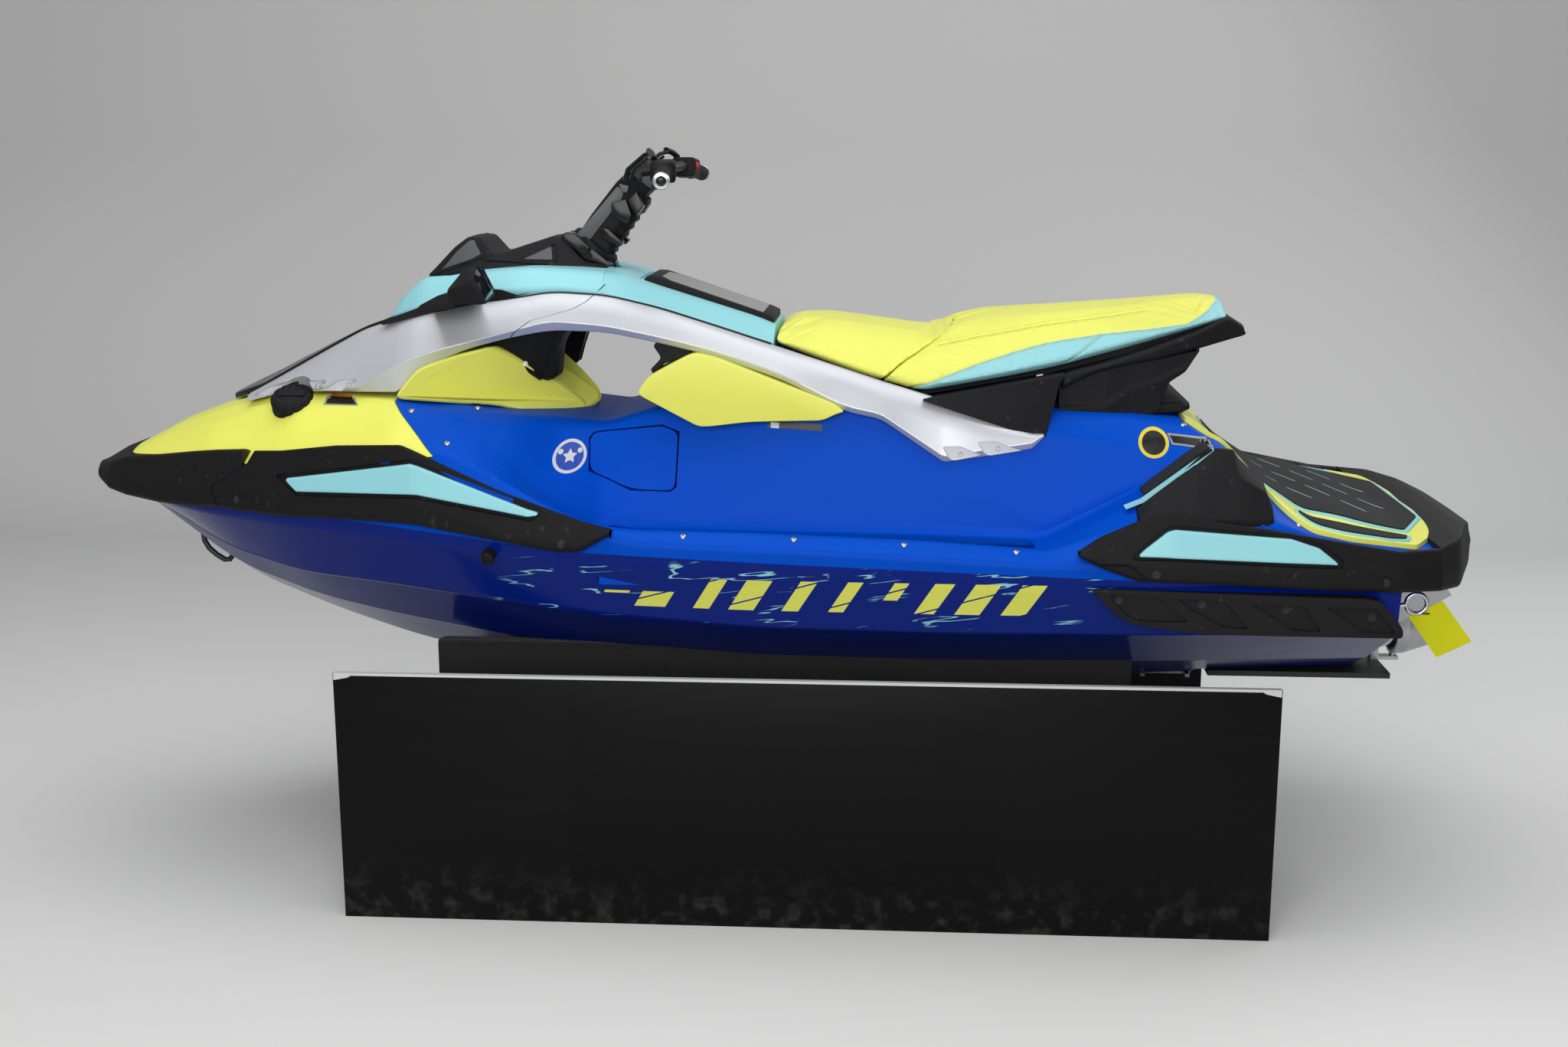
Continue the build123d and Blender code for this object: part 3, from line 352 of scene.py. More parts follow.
def skin(name, stations, soft=20.0, corners=4.0, step=14.0, mirrored=True, nose=0.0, turns=3, ends=(1, 1)):
    """Closed skin through outlines that stand across the craft, [(x, [(y, z), ...])], with rounded corners.

    nose rounds the two ends by that radius. A mirrored skin is given by its half outline.
    """
    stations = sorted(stations, key=lambda s: s[0])
    control = [float(s[0]) for s in stations]
    softness = sorted(soft) if isinstance(soft, (list, tuple)) else [(control[0], soft), (control[-1], soft)]
    first, last = control[0], control[-1]
    count = len(stations[0][1])
    samples = set(np.arange(first, last, step)) | set(control)
    for x in control[1:-1]:
        reach = along(x, softness)
        samples |= {x - reach, x + reach, x - reach * 0.5, x + reach * 0.5}
    samples = sorted(x for x in samples if first <= x <= last)
    kept = [samples[0]]
    for x in samples[1:]:
        if x - kept[-1] > 1.2:
            kept.append(x)
    kept[-1] = last
    if nose:
        low = [first + nose * (1 - math.cos(a)) for a in (0, 0.4, 0.8, 1.2, 1.5708)]
        high = [last - (x - first) for x in reversed(low)]
        kept = ((low if ends[0] else [first]) + [x for x in kept if first + nose * ends[0] < x < last - nose * ends[1]]
                + (high if ends[1] else [last]))
    xs = np.array(kept)
    reach = np.interp(xs, [p[0] for p in softness], [p[1] for p in softness])
    ys = [faired(xs, [(s[0], s[1][i][0]) for s in stations], reach) for i in range(count)]
    zs = [faired(xs, [(s[0], s[1][i][1]) for s in stations], reach) for i in range(count)]
    radii = list(corners) if isinstance(corners, (list, tuple)) else [corners] * count
    rings = []
    for k, x in enumerate(xs):
        half = [Vector((x, ys[i][k], zs[i][k])) for i in range(count)]
        ring, ring_radii = list(half), list(radii)
        if mirrored:
            for i in reversed(range(count)):
                if stations[0][1][i][0] != 0:
                    ring.append(Vector((x, -half[i].y, half[i].z)))
                    ring_radii.append(radii[i])
        inset = 0.0
        if nose and ends[0] and x - first < nose:
            inset = nose - math.sqrt(max(0.0, nose ** 2 - (nose - (x - first)) ** 2))
        if nose and ends[1] and last - x < nose:
            inset = nose - math.sqrt(max(0.0, nose ** 2 - (nose - (last - x)) ** 2))
        ring = rounded(ring, ring_radii, turns)
        if inset:
            middle = sum(ring, Vector()) / len(ring)
            reach_y = max(abs(p.y - middle.y) for p in ring) or 1.0
            reach_z = max(abs(p.z - middle.z) for p in ring) or 1.0
            sy, sz = max(0.05, 1 - inset / reach_y), max(0.05, 1 - inset / reach_z)
            ring = [Vector((p.x, middle.y + (p.y - middle.y) * sy, middle.z + (p.z - middle.z) * sz)) for p in ring]
        rings.append(ring)
    return from_rings(name, rings)


def round_outline(points, radius, turns=4):
    ring = [Vector((p[0], p[1], 0)) for p in points]
    radii = [p[2] if len(p) > 2 else radius for p in points]
    return [(p.x, p.y) for p in rounded(ring, radii, turns)]


def plate(name, outline, inner, outer, axis="y", corner=3.0, edge=0.0, segments=3):
    """Plate with an outline, between two distances along an axis, its outer edge bevelled by edge."""
    ring = round_outline(outline, corner) if corner else [(p[0], p[1]) for p in outline]
    cleaned = []
    for p in ring:
        if not cleaned or math.dist(p, cleaned[-1]) > 0.05:
            cleaned.append(p)
    if math.dist(cleaned[0], cleaned[-1]) <= 0.05:
        cleaned.pop()

    def put(p, depth):
        if axis == "y":
            return (p[0] * 0.001 * STRETCH, depth * 0.001, p[1] * 0.001)
        if axis == "x":
            return (depth * 0.001 * STRETCH, p[0] * 0.001, p[1] * 0.001)
        return (p[0] * 0.001 * STRETCH, p[1] * 0.001, depth * 0.001)

    bm = bmesh.new()
    low = bm.faces.new([bm.verts.new(put(p, inner)) for p in cleaned])
    made = bmesh.ops.extrude_face_region(bm, geom=[low])
    top = [g for g in made["geom"] if isinstance(g, bmesh.types.BMFace)]
    move = Vector(put((0, 0), outer)) - Vector(put((0, 0), inner))
    bmesh.ops.translate(bm, verts=list({v for f in top for v in f.verts}), vec=move)
    bmesh.ops.recalc_face_normals(bm, faces=bm.faces)
    if edge:
        rim = [e for f in top for e in f.edges]
        bmesh.ops.bevel(bm, geom=rim, offset=edge * 0.001, segments=segments, profile=0.5, affect="EDGES",
                        clamp_overlap=True)
    return from_bmesh(name, bm)


def block(name, low, high):
    """Plain box used only to cut with."""
    outline = [(low[0], low[2]), (high[0], low[2]), (high[0], high[2]), (low[0], high[2])]
    return plate(name, outline, low[1], high[1], corner=0)


def twin(thing):
    """Adds the other side's copy, mirrored about the centre plane."""
    bm = bmesh.new()
    bm.from_mesh(thing.data)
    other = bmesh.ops.duplicate(bm, geom=bm.verts[:] + bm.edges[:] + bm.faces[:])["geom"]
    verts = [g for g in other if isinstance(g, bmesh.types.BMVert)]
    bmesh.ops.scale(bm, vec=(1, -1, 1), verts=verts)
    bmesh.ops.reverse_faces(bm, faces=[g for g in other if isinstance(g, bmesh.types.BMFace)])
    bm.to_mesh(thing.data)
    bm.free()
    return thing


def applied(thing):
    """Replaces a piece's mesh by what its modifiers make of it."""
    graph = bpy.context.evaluated_depsgraph_get()
    mesh = bpy.data.meshes.new_from_object(thing.evaluated_get(graph))
    thing.modifiers.clear()
    old = thing.data
    thing.data = mesh
    bpy.data.meshes.remove(old)
    return thing


def carve(thing, operation, *tools, solver="MANIFOLD", keep=False):
    """Boolean with each tool in turn; the tools are used up."""
    for tool in tools:
        m = thing.modifiers.new("carve", "BOOLEAN")
        m.operation, m.solver, m.object = operation, solver, tool
    applied(thing)
    if not keep:
        for tool in tools:
            bpy.data.objects.remove(tool)
    return thing


def smooth(thing, angle=32.0):
    thing.data.shade_smooth()
    thing.data.set_sharp_from_angle(angle=math.radians(angle))
    return thing


def joined(name, things):
    """One piece out of several."""
    bm = bmesh.new()
    for thing in things:
        bm.from_mesh(thing.data)
        bpy.data.objects.remove(thing)
    mesh = bpy.data.meshes.new(name)
    bm.to_mesh(mesh)
    bm.free()
    return new_object(name, mesh)


def fit(thing, material, body="craft", stands_for=(), angle=32.0):
    """Finishes a piece: its material, shading, the body it rides on and what it stands for."""
    if material is not None:
        thing.data.materials.clear()
        thing.data.materials.append(bpy.data.materials[material])
    if angle:
        smooth(thing, angle)
    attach(thing, body)
    if stands_for:
        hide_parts(*stands_for)
    return thing


def draped(name, thing, outline, proud, deep=1.5, corner=2.0, cell=14.0, side=1):
    """Thin plate given in the side view, laid on the side of a piece and following its surface."""
    bm = bmesh.new()
    ring = [(p[0], p[1]) for p in (round_outline(outline, corner, 3) if corner else outline)]
    verts = [bm.verts.new((p[0] * 0.001 * STRETCH, 0, p[1] * 0.001)) for p in ring]
    bm.faces.new(verts)
    bmesh.ops.remove_doubles(bm, verts=bm.verts, dist=2e-5)
    bmesh.ops.triangulate(bm, faces=bm.faces)
    for _ in range(4):
        long_edges = [e for e in bm.edges if e.calc_length() > cell * 0.001]
        if long_edges:
            bmesh.ops.subdivide_edges(bm, edges=long_edges, cuts=1)
            bmesh.ops.triangulate(bm, faces=[f for f in bm.faces if len(f.verts) > 3])
    last = None
    for v in bm.verts:
        hit, point, _, _ = thing.ray_cast(Vector((v.co.x, 0.8 * side, v.co.z)), Vector((0, -side, 0)))
        last = point.y if hit else last
        v.co.y = (last if last is not None else 0.0) + (proud - deep) * 0.001 * side
    made = bmesh.ops.extrude_face_region(bm, geom=bm.faces[:])["geom"]
    bmesh.ops.translate(bm, verts=[g for g in made if isinstance(g, bmesh.types.BMVert)],
                        vec=(0, deep * 0.001 * side, 0))
    return from_bmesh(name, bm)


def strip_outline(points, width):
    """Outline of a narrow strip along a line in the side view."""
    sides = ([], [])
    for i, p in enumerate(points):
        ahead, behind = Vector(points[min(i + 1, len(points) - 1)]), Vector(points[max(i - 1, 0)])
        way = (ahead - behind).normalized()
        off = Vector((-way.y, way.x)) * width / 2
        sides[0].append(tuple(Vector(p) + off))
        sides[1].append(tuple(Vector(p) - off))
    return sides[0] + sides[1][::-1]


def lathe(name, origin, axis, profile, turns=32):
    """Round piece: profile of (distance along the axis, radius), millimetres from origin."""
    axis = Vector(axis).normalized()
    side = axis.orthogonal().normalized()
    up = axis.cross(side)
    rings = []
    for distance, radius in profile:
        ring = []
        for k in range(turns):
            a = math.tau * k / turns
            p = Vector(origin) + axis * distance + (side * math.cos(a) + up * math.sin(a)) * max(radius, 0.01)
            ring.append(p)
        rings.append(ring)
    return from_rings(name, rings)


def tube(name, points, radius, sides=12, closed=False):
    """Round bar along points in millimetres."""
    points = [Vector(p) for p in points]
    rings = []
    normal = None
    count = len(points)
    for i, p in enumerate(points):
        ahead = points[(i + 1) % count] if closed or i < count - 1 else p
        behind = points[i - 1] if closed or i > 0 else p
        tangent = (ahead - behind).normalized()
        if normal is None:
            normal = tangent.orthogonal().normalized()
        normal = (normal - tangent * normal.dot(tangent)).normalized()
        other = tangent.cross(normal)
        r = radius[i] if isinstance(radius, (list, tuple)) else radius
        rings.append([p + (normal * math.cos(a) + other * math.sin(a)) * r
                      for a in (math.tau * k / sides for k in range(sides))])
    if closed:
        rings.append(rings[0])
    return from_rings(name, rings, caps=not closed)


# ---------------------------------------------------------------- repeats made with geometry nodes
def repeat_tree(name):
    """Tree that stands one shape on every point of a mesh, turned to the point's facing."""
    group = bpy.data.node_groups.new(name, "GeometryNodeTree")
    face = group.interface
    face.new_socket("Geometry", in_out="INPUT", socket_type="NodeSocketGeometry")
    face.new_socket("Shape", in_out="INPUT", socket_type="NodeSocketObject")
    face.new_socket("Size", in_out="INPUT", socket_type="NodeSocketFloat")
    face.new_socket("Finish", in_out="INPUT", socket_type="NodeSocketMaterial")
    face.new_socket("Geometry", in_out="OUTPUT", socket_type="NodeSocketGeometry")
    t = Tree(group)
    given = t.node("NodeGroupInput")
    shape = t.node("GeometryNodeObjectInfo", {"transform_space": "ORIGINAL"}, {"Object": given["Shape"]})
    facing = t.node("GeometryNodeInputNamedAttribute", {"data_type": "FLOAT_VECTOR"}, {"Name": "facing"})
    leading = t.node("GeometryNodeInputNamedAttribute", {"data_type": "FLOAT_VECTOR"}, {"Name": "leading"})
    upright = t.node("FunctionNodeAlignRotationToVector", {"axis": "Z"}, {"Vector": facing[0]})
    turned = t.node("FunctionNodeAlignRotationToVector", {"axis": "X", "pivot_axis": "Z"},
                    {"Rotation": upright[0], "Vector": leading[0]})
    points = t.node("GeometryNodeMeshToPoints", inputs={"Mesh": given["Geometry"]})
    put = t.node("GeometryNodeInstanceOnPoints", inputs={
        "Points": points[0], "Instance": shape["Geometry"], "Rotation": turned[0], "Scale": given["Size"]})
    real = t.node("GeometryNodeRealizeInstances", inputs={"Geometry": put[0]})
    done = t.node("GeometryNodeSetMaterial", inputs={"Geometry": real[0], "Material": given["Finish"]})
    t.node("NodeGroupOutput", inputs={"Geometry": done[0]})
    return group


def socket_name(group, name):
    return next(i.identifier for i in group.interface.items_tree
                if getattr(i, "in_out", None) == "INPUT" and i.name == name)


def repeat(name, shape, places, material, size=1.0, body="craft"):
    """One piece out of a shape repeated at places of (point mm, facing, leading)."""
    group = bpy.data.node_groups.get("stand_on_points") or repeat_tree("stand_on_points")
    mesh = bpy.data.meshes.new(name)
    mesh.from_pydata([(p[0][0] * 0.001 * STRETCH, p[0][1] * 0.001, p[0][2] * 0.001) for p in places], [], [])
    for attribute, at in (("facing", 1), ("leading", 2)):
        data = mesh.attributes.new(attribute, "FLOAT_VECTOR", "POINT").data
        for item, p in zip(data, places):
            item.vector = p[at]
    thing = new_object(name, mesh)
    m = thing.modifiers.new("repeat", "NODES")
    m.node_group = group
    m[socket_name(group, "Shape")] = shape
    m[socket_name(group, "Size")] = float(size)
    m[socket_name(group, "Finish")] = bpy.data.materials[material]
    applied(thing)
    return fit(thing, None, body, angle=40)


def screw_shape(name="screw_shape"):
    """Pan head with a recessed socket, radius 1 at the origin, standing on +Z."""
    profile = [(-0.25, 1.0), (0.12, 1.0), (0.34, 0.86), (0.5, 0.6), (0.52, 0.44), (0.1, 0.36), (0.08, 0.01)]
    shape = lathe(name, (0, 0, 0), (0, 0, 1), [(d * 1000, r * 1000) for d, r in profile], 14)
    return smooth(shape, 40)


def socket_bolt_shape(name="bolt_shape"):
    """Flat washer head with a hexagon socket, radius 1 at the origin."""
    profile = [(-0.3, 1.0), (0.14, 1.0), (0.2, 0.94), (0.2, 0.66), (0.5, 0.58), (0.56, 0.52), (0.56, 0.3), (0.2, 0.28),
               (0.2, 0.01)]
    shape = lathe(name, (0, 0, 0), (0, 0, 1), [(d * 1000, r * 1000) for d, r in profile], 18)
    return smooth(shape, 40)


def both_sides(places):
    """The same places on both sides of the craft."""
    flip = Matrix.Diagonal((1, -1, 1)).to_3x3()
    return places + [tuple(flip @ Vector(v) for v in p) for p in places]


# ---------------------------------------------------------------- hull, deck and cowl lines
belt_plan = [(1570, 12), (1550, 70), (1500, 135), (1400, 205), (1250, 285), (1000, 390), (750, 470),
             (500, 525), (250, 552), (0, 565), (-900, 565), (-1150, 552), (-1290, 530), (-1380, 490),
             (-1437, 420), (-1480, 300), (-1520, 190), (-1550, 90), (-1570, 30)]
bond_height = [(1570, 886), (1441, 880), (1224, 862), (1016, 858), (827, 852), (600, 835), (350, 814),
               (0, 803), (-400, 789), (-800, 776), (-1290, 757), (-1570, 750)]
hull_lines = [  # x, keel height, inner strake (y, z), chine (y, z)
    (1525, 870, (10, 872), (20, 874)), (1441, 806, (32, 818), (60, 832)), (1344, 735, (52, 760), (100, 790)),
    (1224, 640, (80, 682), (155, 735)), (1016, 553, (135, 622), (260, 705)), (827, 490, (170, 590), (335, 704)),
    (600, 440, (205, 560), (400, 690)), (350, 418, (228, 538), (448, 668)), (0, 408, (244, 526), (478, 652)),
    (-400, 405, (248, 524), (486, 649)), (-800, 412, (248, 530), (488, 653)), (-1300, 440, (244, 546), (478, 656))]
# x, side top, ledge, well, foot of the wall, wall top, shoulder, crown
deck_lines = [
    (1525, 905, (50, 912), (45, 914), (38, 916), (28, 918), (16, 920), 920),
    (1441, 930, (110, 945), (95, 950), (80, 953), (60, 956), (35, 958), 960),
    (1344, 938, (160, 956), (130, 972), (100, 990), (70, 1002), (40, 1008), 1010),
    (1224, 947, (230, 966), (195, 995), (160, 1022), (110, 1044), (60, 1052), 1055),
    (1120, 952, (265, 974), (230, 1010), (195, 1050), (150, 1070), (90, 1080), 1082),
    (1016, 965, (305, 985), (278, 1018), (247, 1054), (190, 1086), (120, 1094), 1096),
    (900, 985, (350, 1003), (310, 1035), (275, 1070), (232, 1094), (150, 1100), 1102),
    (766, 1000, (405, 1020), (370, 1045), (335, 1072), (298, 1090), (200, 1094), 1096),
    (640, 975, (455, 1005), (420, 1028), (385, 1052), (350, 1072), (310, 1084), 1088),
    (590, 955, (470, 985), (440, 1006), (405, 1030), (365, 1054), (300, 1072), 1078),
    (520, 930, (485, 958), (450, 965), (400, 985), (325, 1040), (262, 1058), 1064),
    (440, 900, (494, 918), (450, 905), (380, 895), (235, 1032), (205, 1044), 1052),
    (340, 858, (497, 868), (450, 862), (315, 824), (214, 1024), (195, 1034), 1040),
    (234, 840, (500, 858), (450, 854), (305, 820), (222, 1060), (200, 1068), 1072),
    (130, 838, (500, 857), (450, 852), (308, 820), (232, 1095), (205, 1125), 1128),
    (40, 836, (500, 856), (450, 850), (312, 820), (242, 1100), (200, 1180), 1181.5),
    (-45, 834, (500, 854), (450, 848), (315, 820), (250, 1095), (195, 1183), 1184.7),
    (-110, 832, (500, 852), (450, 846), (318, 820), (255, 1090), (195, 1162), 1163.7),
    (-213, 828, (500, 849), (450, 843), (322, 820), (262, 1080), (198, 1128), 1129.7),
    (-340, 822, (500, 844), (450, 838), (326, 820), (268, 1070), (205, 1095), 1097),
    (-600, 808, (498, 828), (425, 820), (330, 815), (272, 1060), (245, 1080), 1082),
    (-782, 815, (490, 884), (425, 912), (318, 912), (264, 1054), (240, 1068), 1072),
    (-895, 815, (490, 892), (425, 1000), (326, 1002), (285, 1050), (250, 1056), 1058),
    (-926, 815, (490, 892), (422, 1020), (332, 1022), (300, 1034), (250, 1036), 1038),
    (-968, 815, (490, 892), (400, 1010), (330, 1018), (290, 1018), (240, 1008), 1000),
    (-1043, 815, (490, 890), (430, 916), (400, 930), (300, 930), (240, 925), 920),
    (-1130, 815, (480, 862), (450, 862), (400, 866), (300, 874), (240, 880), 882),
    (-1205, 812, (470, 846), (430, 848), (400, 850), (330, 860), (240, 864), 866),
    (-1344, 800, (430, 824), (400, 825), (330, 827), (240, 829), (120, 830), 830),
    (-1420, 795, (385, 828), (350, 829), (300, 830), (220, 831), (110, 832), 832),
    (-1490, 790, (215, 825), (190, 826), (150, 827), (100, 828), (50, 829), 829),
    (-1535, 775, (60, 795), (50, 796), (42, 797), (30, 798), (15, 799), 799)]
low_crease = [(300, 860), (130, 852), (68, 864), (-399, 957), (-444, 940), (-606, 842), (-640, 850), (-782, 930)]
low_bulge = [(130, 0), (-120, 0), (-380, 2), (-440, 2), (-600, 6), (-700, 8), (-782, 8)]
high_crease = [(-592, 1028), (-611, 1041), (-752, 1035), (-787, 1012), (-862, 1016), (-895, 1020)]
high_bulge = [(-560, 0), (-620, 12), (-752, 16), (-800, 10), (-895, 2)]


def bond_plan(x):
    return max(along(x, belt_plan) - 26, 6)


def wall_point(foot, top, height, bulge, share):
    """Point up the wall at a height, or at a share of the way where the wall is low."""
    tall = top[1] - foot[1]
    t = min(0.92, max(0.05, (height - foot[1]) / tall)) if tall > 60 else share
    return foot[0] + (top[0] - foot[0]) * t + bulge, foot[1] + tall * t


def deck_form(name, rise=0.0, proud=0.0, first=1600, last=-1600):
    """The deck's outside as a solid; rise lifts its top and proud widens its walls, to make panels that lie on it."""
    stations = []
    for x, side, ledge, well, foot, wall, shoulder, crown in deck_lines:
        if not last <= x <= first:
            continue
        middle = foot[1] + (wall[1] - foot[1]) * 0.36
        upper = foot[1] + (wall[1] - foot[1]) * 0.72
        bulges = (0.0, 0.0)
        if 300 > x > -790:
            middle = along(x, low_crease)
            bulges = (along(x, low_bulge), along(x, high_bulge))
            if x < -592:
                upper = along(x, high_crease)
        lower = wall_point(foot, wall, middle, bulges[0], 0.36)
        higher = wall_point(foot, wall, max(upper, lower[1] + 12), bulges[1], 0.72)
        walls = [(y + proud, z + rise) for y, z in (foot, lower, higher, wall, shoulder)]
        stations.append((x, [(bond_plan(x), along(x, bond_height)), (bond_plan(x), side + rise),
                             (ledge[0], ledge[1] + rise), (well[0], well[1] + rise), *walls, (0, crown + rise)]))
    crease = 6 if first > 1500 and last >= 500 else 20
    return skin(name, stations, soft=16.0, corners=[1, 12, 9, 10, crease, 10, 8, 12, 16, 0], step=16.0)


cowl_edge = [(1600, 900), (1525, 905), (1441, 930), (1344, 938), (1224, 947), (1120, 952), (1016, 965), (900, 985),
             (766, 1000), (672, 996), (660, 998, 8), (794, 1098, 14), (798, 1300), (1600, 1300)]
hatch_outline = [(371, 1004), (363, 1014, 8), (214, 1032, 8), (179, 1020, 14), (183, 908, 14), (194, 900, 16),
                 (279, 901, 30), (367, 940, 18)]
tub_outline = [(300, 480, 10), (265, 335, 30), (-575, 350, 30), (-575, 480, 10)]


def side_cutter(name, outline, inner, outer, corner=0.0):
    """Tools on both sides from a side outline."""
    tools = []
    for side in (1, -1):
        low, high = sorted((inner * side, outer * side))
        tools.append(plate(name, outline, low, high, corner=corner))
    return tools


def plan_cutter(name, outline, low, high, corner=4.0):
    tools = []
    for side in (1, -1):
        tools.append(plate(name, [(p[0], p[1] * side, *p[2:]) for p in outline], low, high, axis="z", corner=corner))
    return tools


def grown(outline, amount):
    """Outline moved outwards by an amount."""
    points = [Vector((p[0], p[1])) for p in outline]
    area = sum(a.x * b.y - b.x * a.y for a, b in zip(points, points[1:] + points[:1]))
    turn = -1 if area > 0 else 1
    made = []
    for i, p in enumerate(points):
        a = (p - points[i - 1]).normalized()
        b = (points[(i + 1) % len(points)] - p).normalized()
        out = (Vector((-a.y, a.x)) + Vector((-b.y, b.x))) * turn
        out = out.normalized() / max(0.5, math.cos(a.angle(b) / 2)) if out.length > 1e-6 else Vector((-a.y, a.x)) * turn
        q = p + out * amount
        made.append((q.x, q.y, *outline[i][2:]))
    return made


# ---------------------------------------------------------------- operators
class FinishesOperator(bpy.types.Operator):
    """Mix every paint, plastic, metal and fabric of the craft and its stand"""
    bl_idname = "watercraft.finishes"
    bl_label = "Finishes"

    def execute(self, context):
        c = context.scene.watercraft_colours
        moulded("deck_blue", c.deck, 0.42, 420, 0.00022, 0.04, 0.05, 0.0)
        moulded("yellow_shell", c.shell, 0.36, 420, 0.00016, 0.035)
        moulded("cyan_shell", c.accent, 0.34, 420, 0.00014, 0.03)
        moulded("black_plastic", c.trim, 0.52, 900, 0.00035, 0.12, 0.1)
        moulded("black_gloss", shade(c.trim, 0.45), 0.2, 500, 0.00006, 0.1)
        moulded("grey_satin", linear((84, 85, 90)), 0.36, 900, 0.0001, 0.05)
        moulded("black_rubber", shade(c.trim, 0.78), 0.6, 620, 0.0005, 0.14, 0.12)
        moulded("grip_rubber", shade(c.trim, 0.5), 0.7, 800, 0.0004, 0.1)
        moulded("foam_black", shade(c.trim, 0.42), 0.85, 1100, 0.0006, 0.2)
        moulded("foam_cyan", c.accent, 0.7, 1100, 0.0004, 0.05)
        moulded("tag_yellow", c.tag, 0.5, 60, 0.0006, 0.05)
        moulded("label_grey", linear((150, 150, 150)), 0.4, 300, 0.00005, 0.06)
        moulded("label_white", linear((214, 216, 220)), 0.35, 300, 0.00005, 0.04)
        moulded("label_blue", linear((40, 78, 178)), 0.35, 300, 0.00005, 0.04)
        moulded("label_orange", linear((226, 112, 40)), 0.35, 300, 0.00005, 0.04)
        moulded("label_yellow", linear((222, 204, 60)), 0.35, 300, 0.00005, 0.04)
        moulded("label_black", linear((22, 22, 24)), 0.3, 300, 0.00005, 0.04)
        moulded("switch_red", linear((190, 30, 28)), 0.35, 500, 0.0001, 0.04)
        # Painted shade: near-black finish for strips laid where a gap between parts falls in shade.
        moulded("gap_black", (0.002, 0.002, 0.002), 0.8, 500, 0.0001, 0.1)
        moulded("seat_thread", shade(c.shell, 0.8), 0.7, 2000, 0.0001, 0.1)
        self.hull(c)
        self.arch(c)
        self.vinyl(c)
        self.board(c)
        self.carpet()
        self.ribbed(c)
        self.engine()
        metal("chrome", linear((196, 198, 204)), 0.16, 300)
        metal("zinc_screw", linear((196, 198, 202)), 0.24, 900)
        metal("pump_alloy", linear((176, 178, 182)), 0.36, 180)
        metal("impeller_steel", linear((190, 190, 192)), 0.26, 240, stretch=(6, 1, 1))
        metal("black_steel", linear((30, 30, 32)), 0.42, 500, 0.15)
        metal("stand_steel", linear((52, 52, 56)), 0.45, 260, 0.2)
        metal("mirror_glass", linear((120, 140, 150)), 0.03, 40)
        return {"FINISHED"}

    def hull(self, c):
        f = Finish("hull_blue")
        x, y, z = f.axes()
        slope = x + (z - 0.72) * 0.6

        def fraction(value):
            return f.node("ShaderNodeMath", {"operation": "FRACT"}, {0: value})[0]

        def between(value, low, high, edge=0.0008):
            return value.step(low - edge, low + edge) * (1 - value.step(high - edge, high + edge))

        along_row = slope / 0.092 + 0.3
        cell = f.node("ShaderNodeMath", {"operation": "FLOOR"}, {0: along_row})[0]
        chance = f.node("ShaderNodeTexWhiteNoise", {"noise_dimensions": "1D"}, {"W": cell})[0]
        other = f.node("ShaderNodeTexWhiteNoise", {"noise_dimensions": "1D"}, {"W": cell + 40.0})[0]
        place = fraction(along_row)
        bars = between(place, 0.1, 0.4 + 0.46 * chance,
                       0.006) * (0.97 * (z - 0.694 - 0.03 * (other - 0.6).step(0.0, 0.01)).step(
            -0.0006, 0.0006)) * (1 - (z - 0.764 + 0.034 * (chance - 0.72).step(0.0, 0.01)).step(-0.0006, 0.0006))
        cut = 1 - between(fraction((slope + z * 2.6) / 0.21), 0.88, 0.93, 0.004)
        yellow = bars * cut * between(slope, -0.57, 0.31)
        turned = f.node("ShaderNodeCombineXYZ", inputs={0: slope * 2.4, 1: 0.0, 2: (z + x * 0.12) * 22.0})[0]
        drift = f.node("ShaderNodeTexNoise", inputs={"Vector": turned, "Scale": 1.0, "Detail": 3.0})[0]
        near = between(slope, -0.70, 0.52, 0.05) * between(z, 0.664, 0.80, 0.012)
        cyan = (1 - (drift - 0.5).size().step(0.004, 0.009)) * near * f.noise(14.0, 2.0).step(0.5, 0.6)
        deep = f.noise(5.0, 3.0)
        # The hull's base blue carries painted shade: it is darkened for the hull lying in shade.
        base = f.blend(deep, shade(c.hull, 0.92), shade(c.hull, 1.06))
        base = f.blend(cyan, base, c.accent)
        base = f.blend(yellow, base, c.shell)
        f.done(base_color=base, roughness=0.16 + 0.06 * f.noise(40.0, 4.0), specular_level=0.1, coat_weight=0.08,
               coat_roughness=0.05,
               normal=f.bump(f.noise(7.0, 2.0), 0.0015))

    def arch(self, c):
        f = Finish("silver_satin")
        flakes = f.cells(1500.0)
        cloud = f.noise(6.0, 3.0)
        base = f.blend(cloud, shade(c.arch, 0.95), shade(c.arch, 1.03))
        base = f.blend(flakes.step(0.1, 0.9) * 0.12, base, (0.85, 0.86, 0.9))
        f.done(base_color=base, metallic=0.35, roughness=0.32 + 0.06 * f.noise(50.0, 3.0), coat_weight=0.25,
               coat_roughness=0.15, normal=f.bump(flakes, 0.00006))

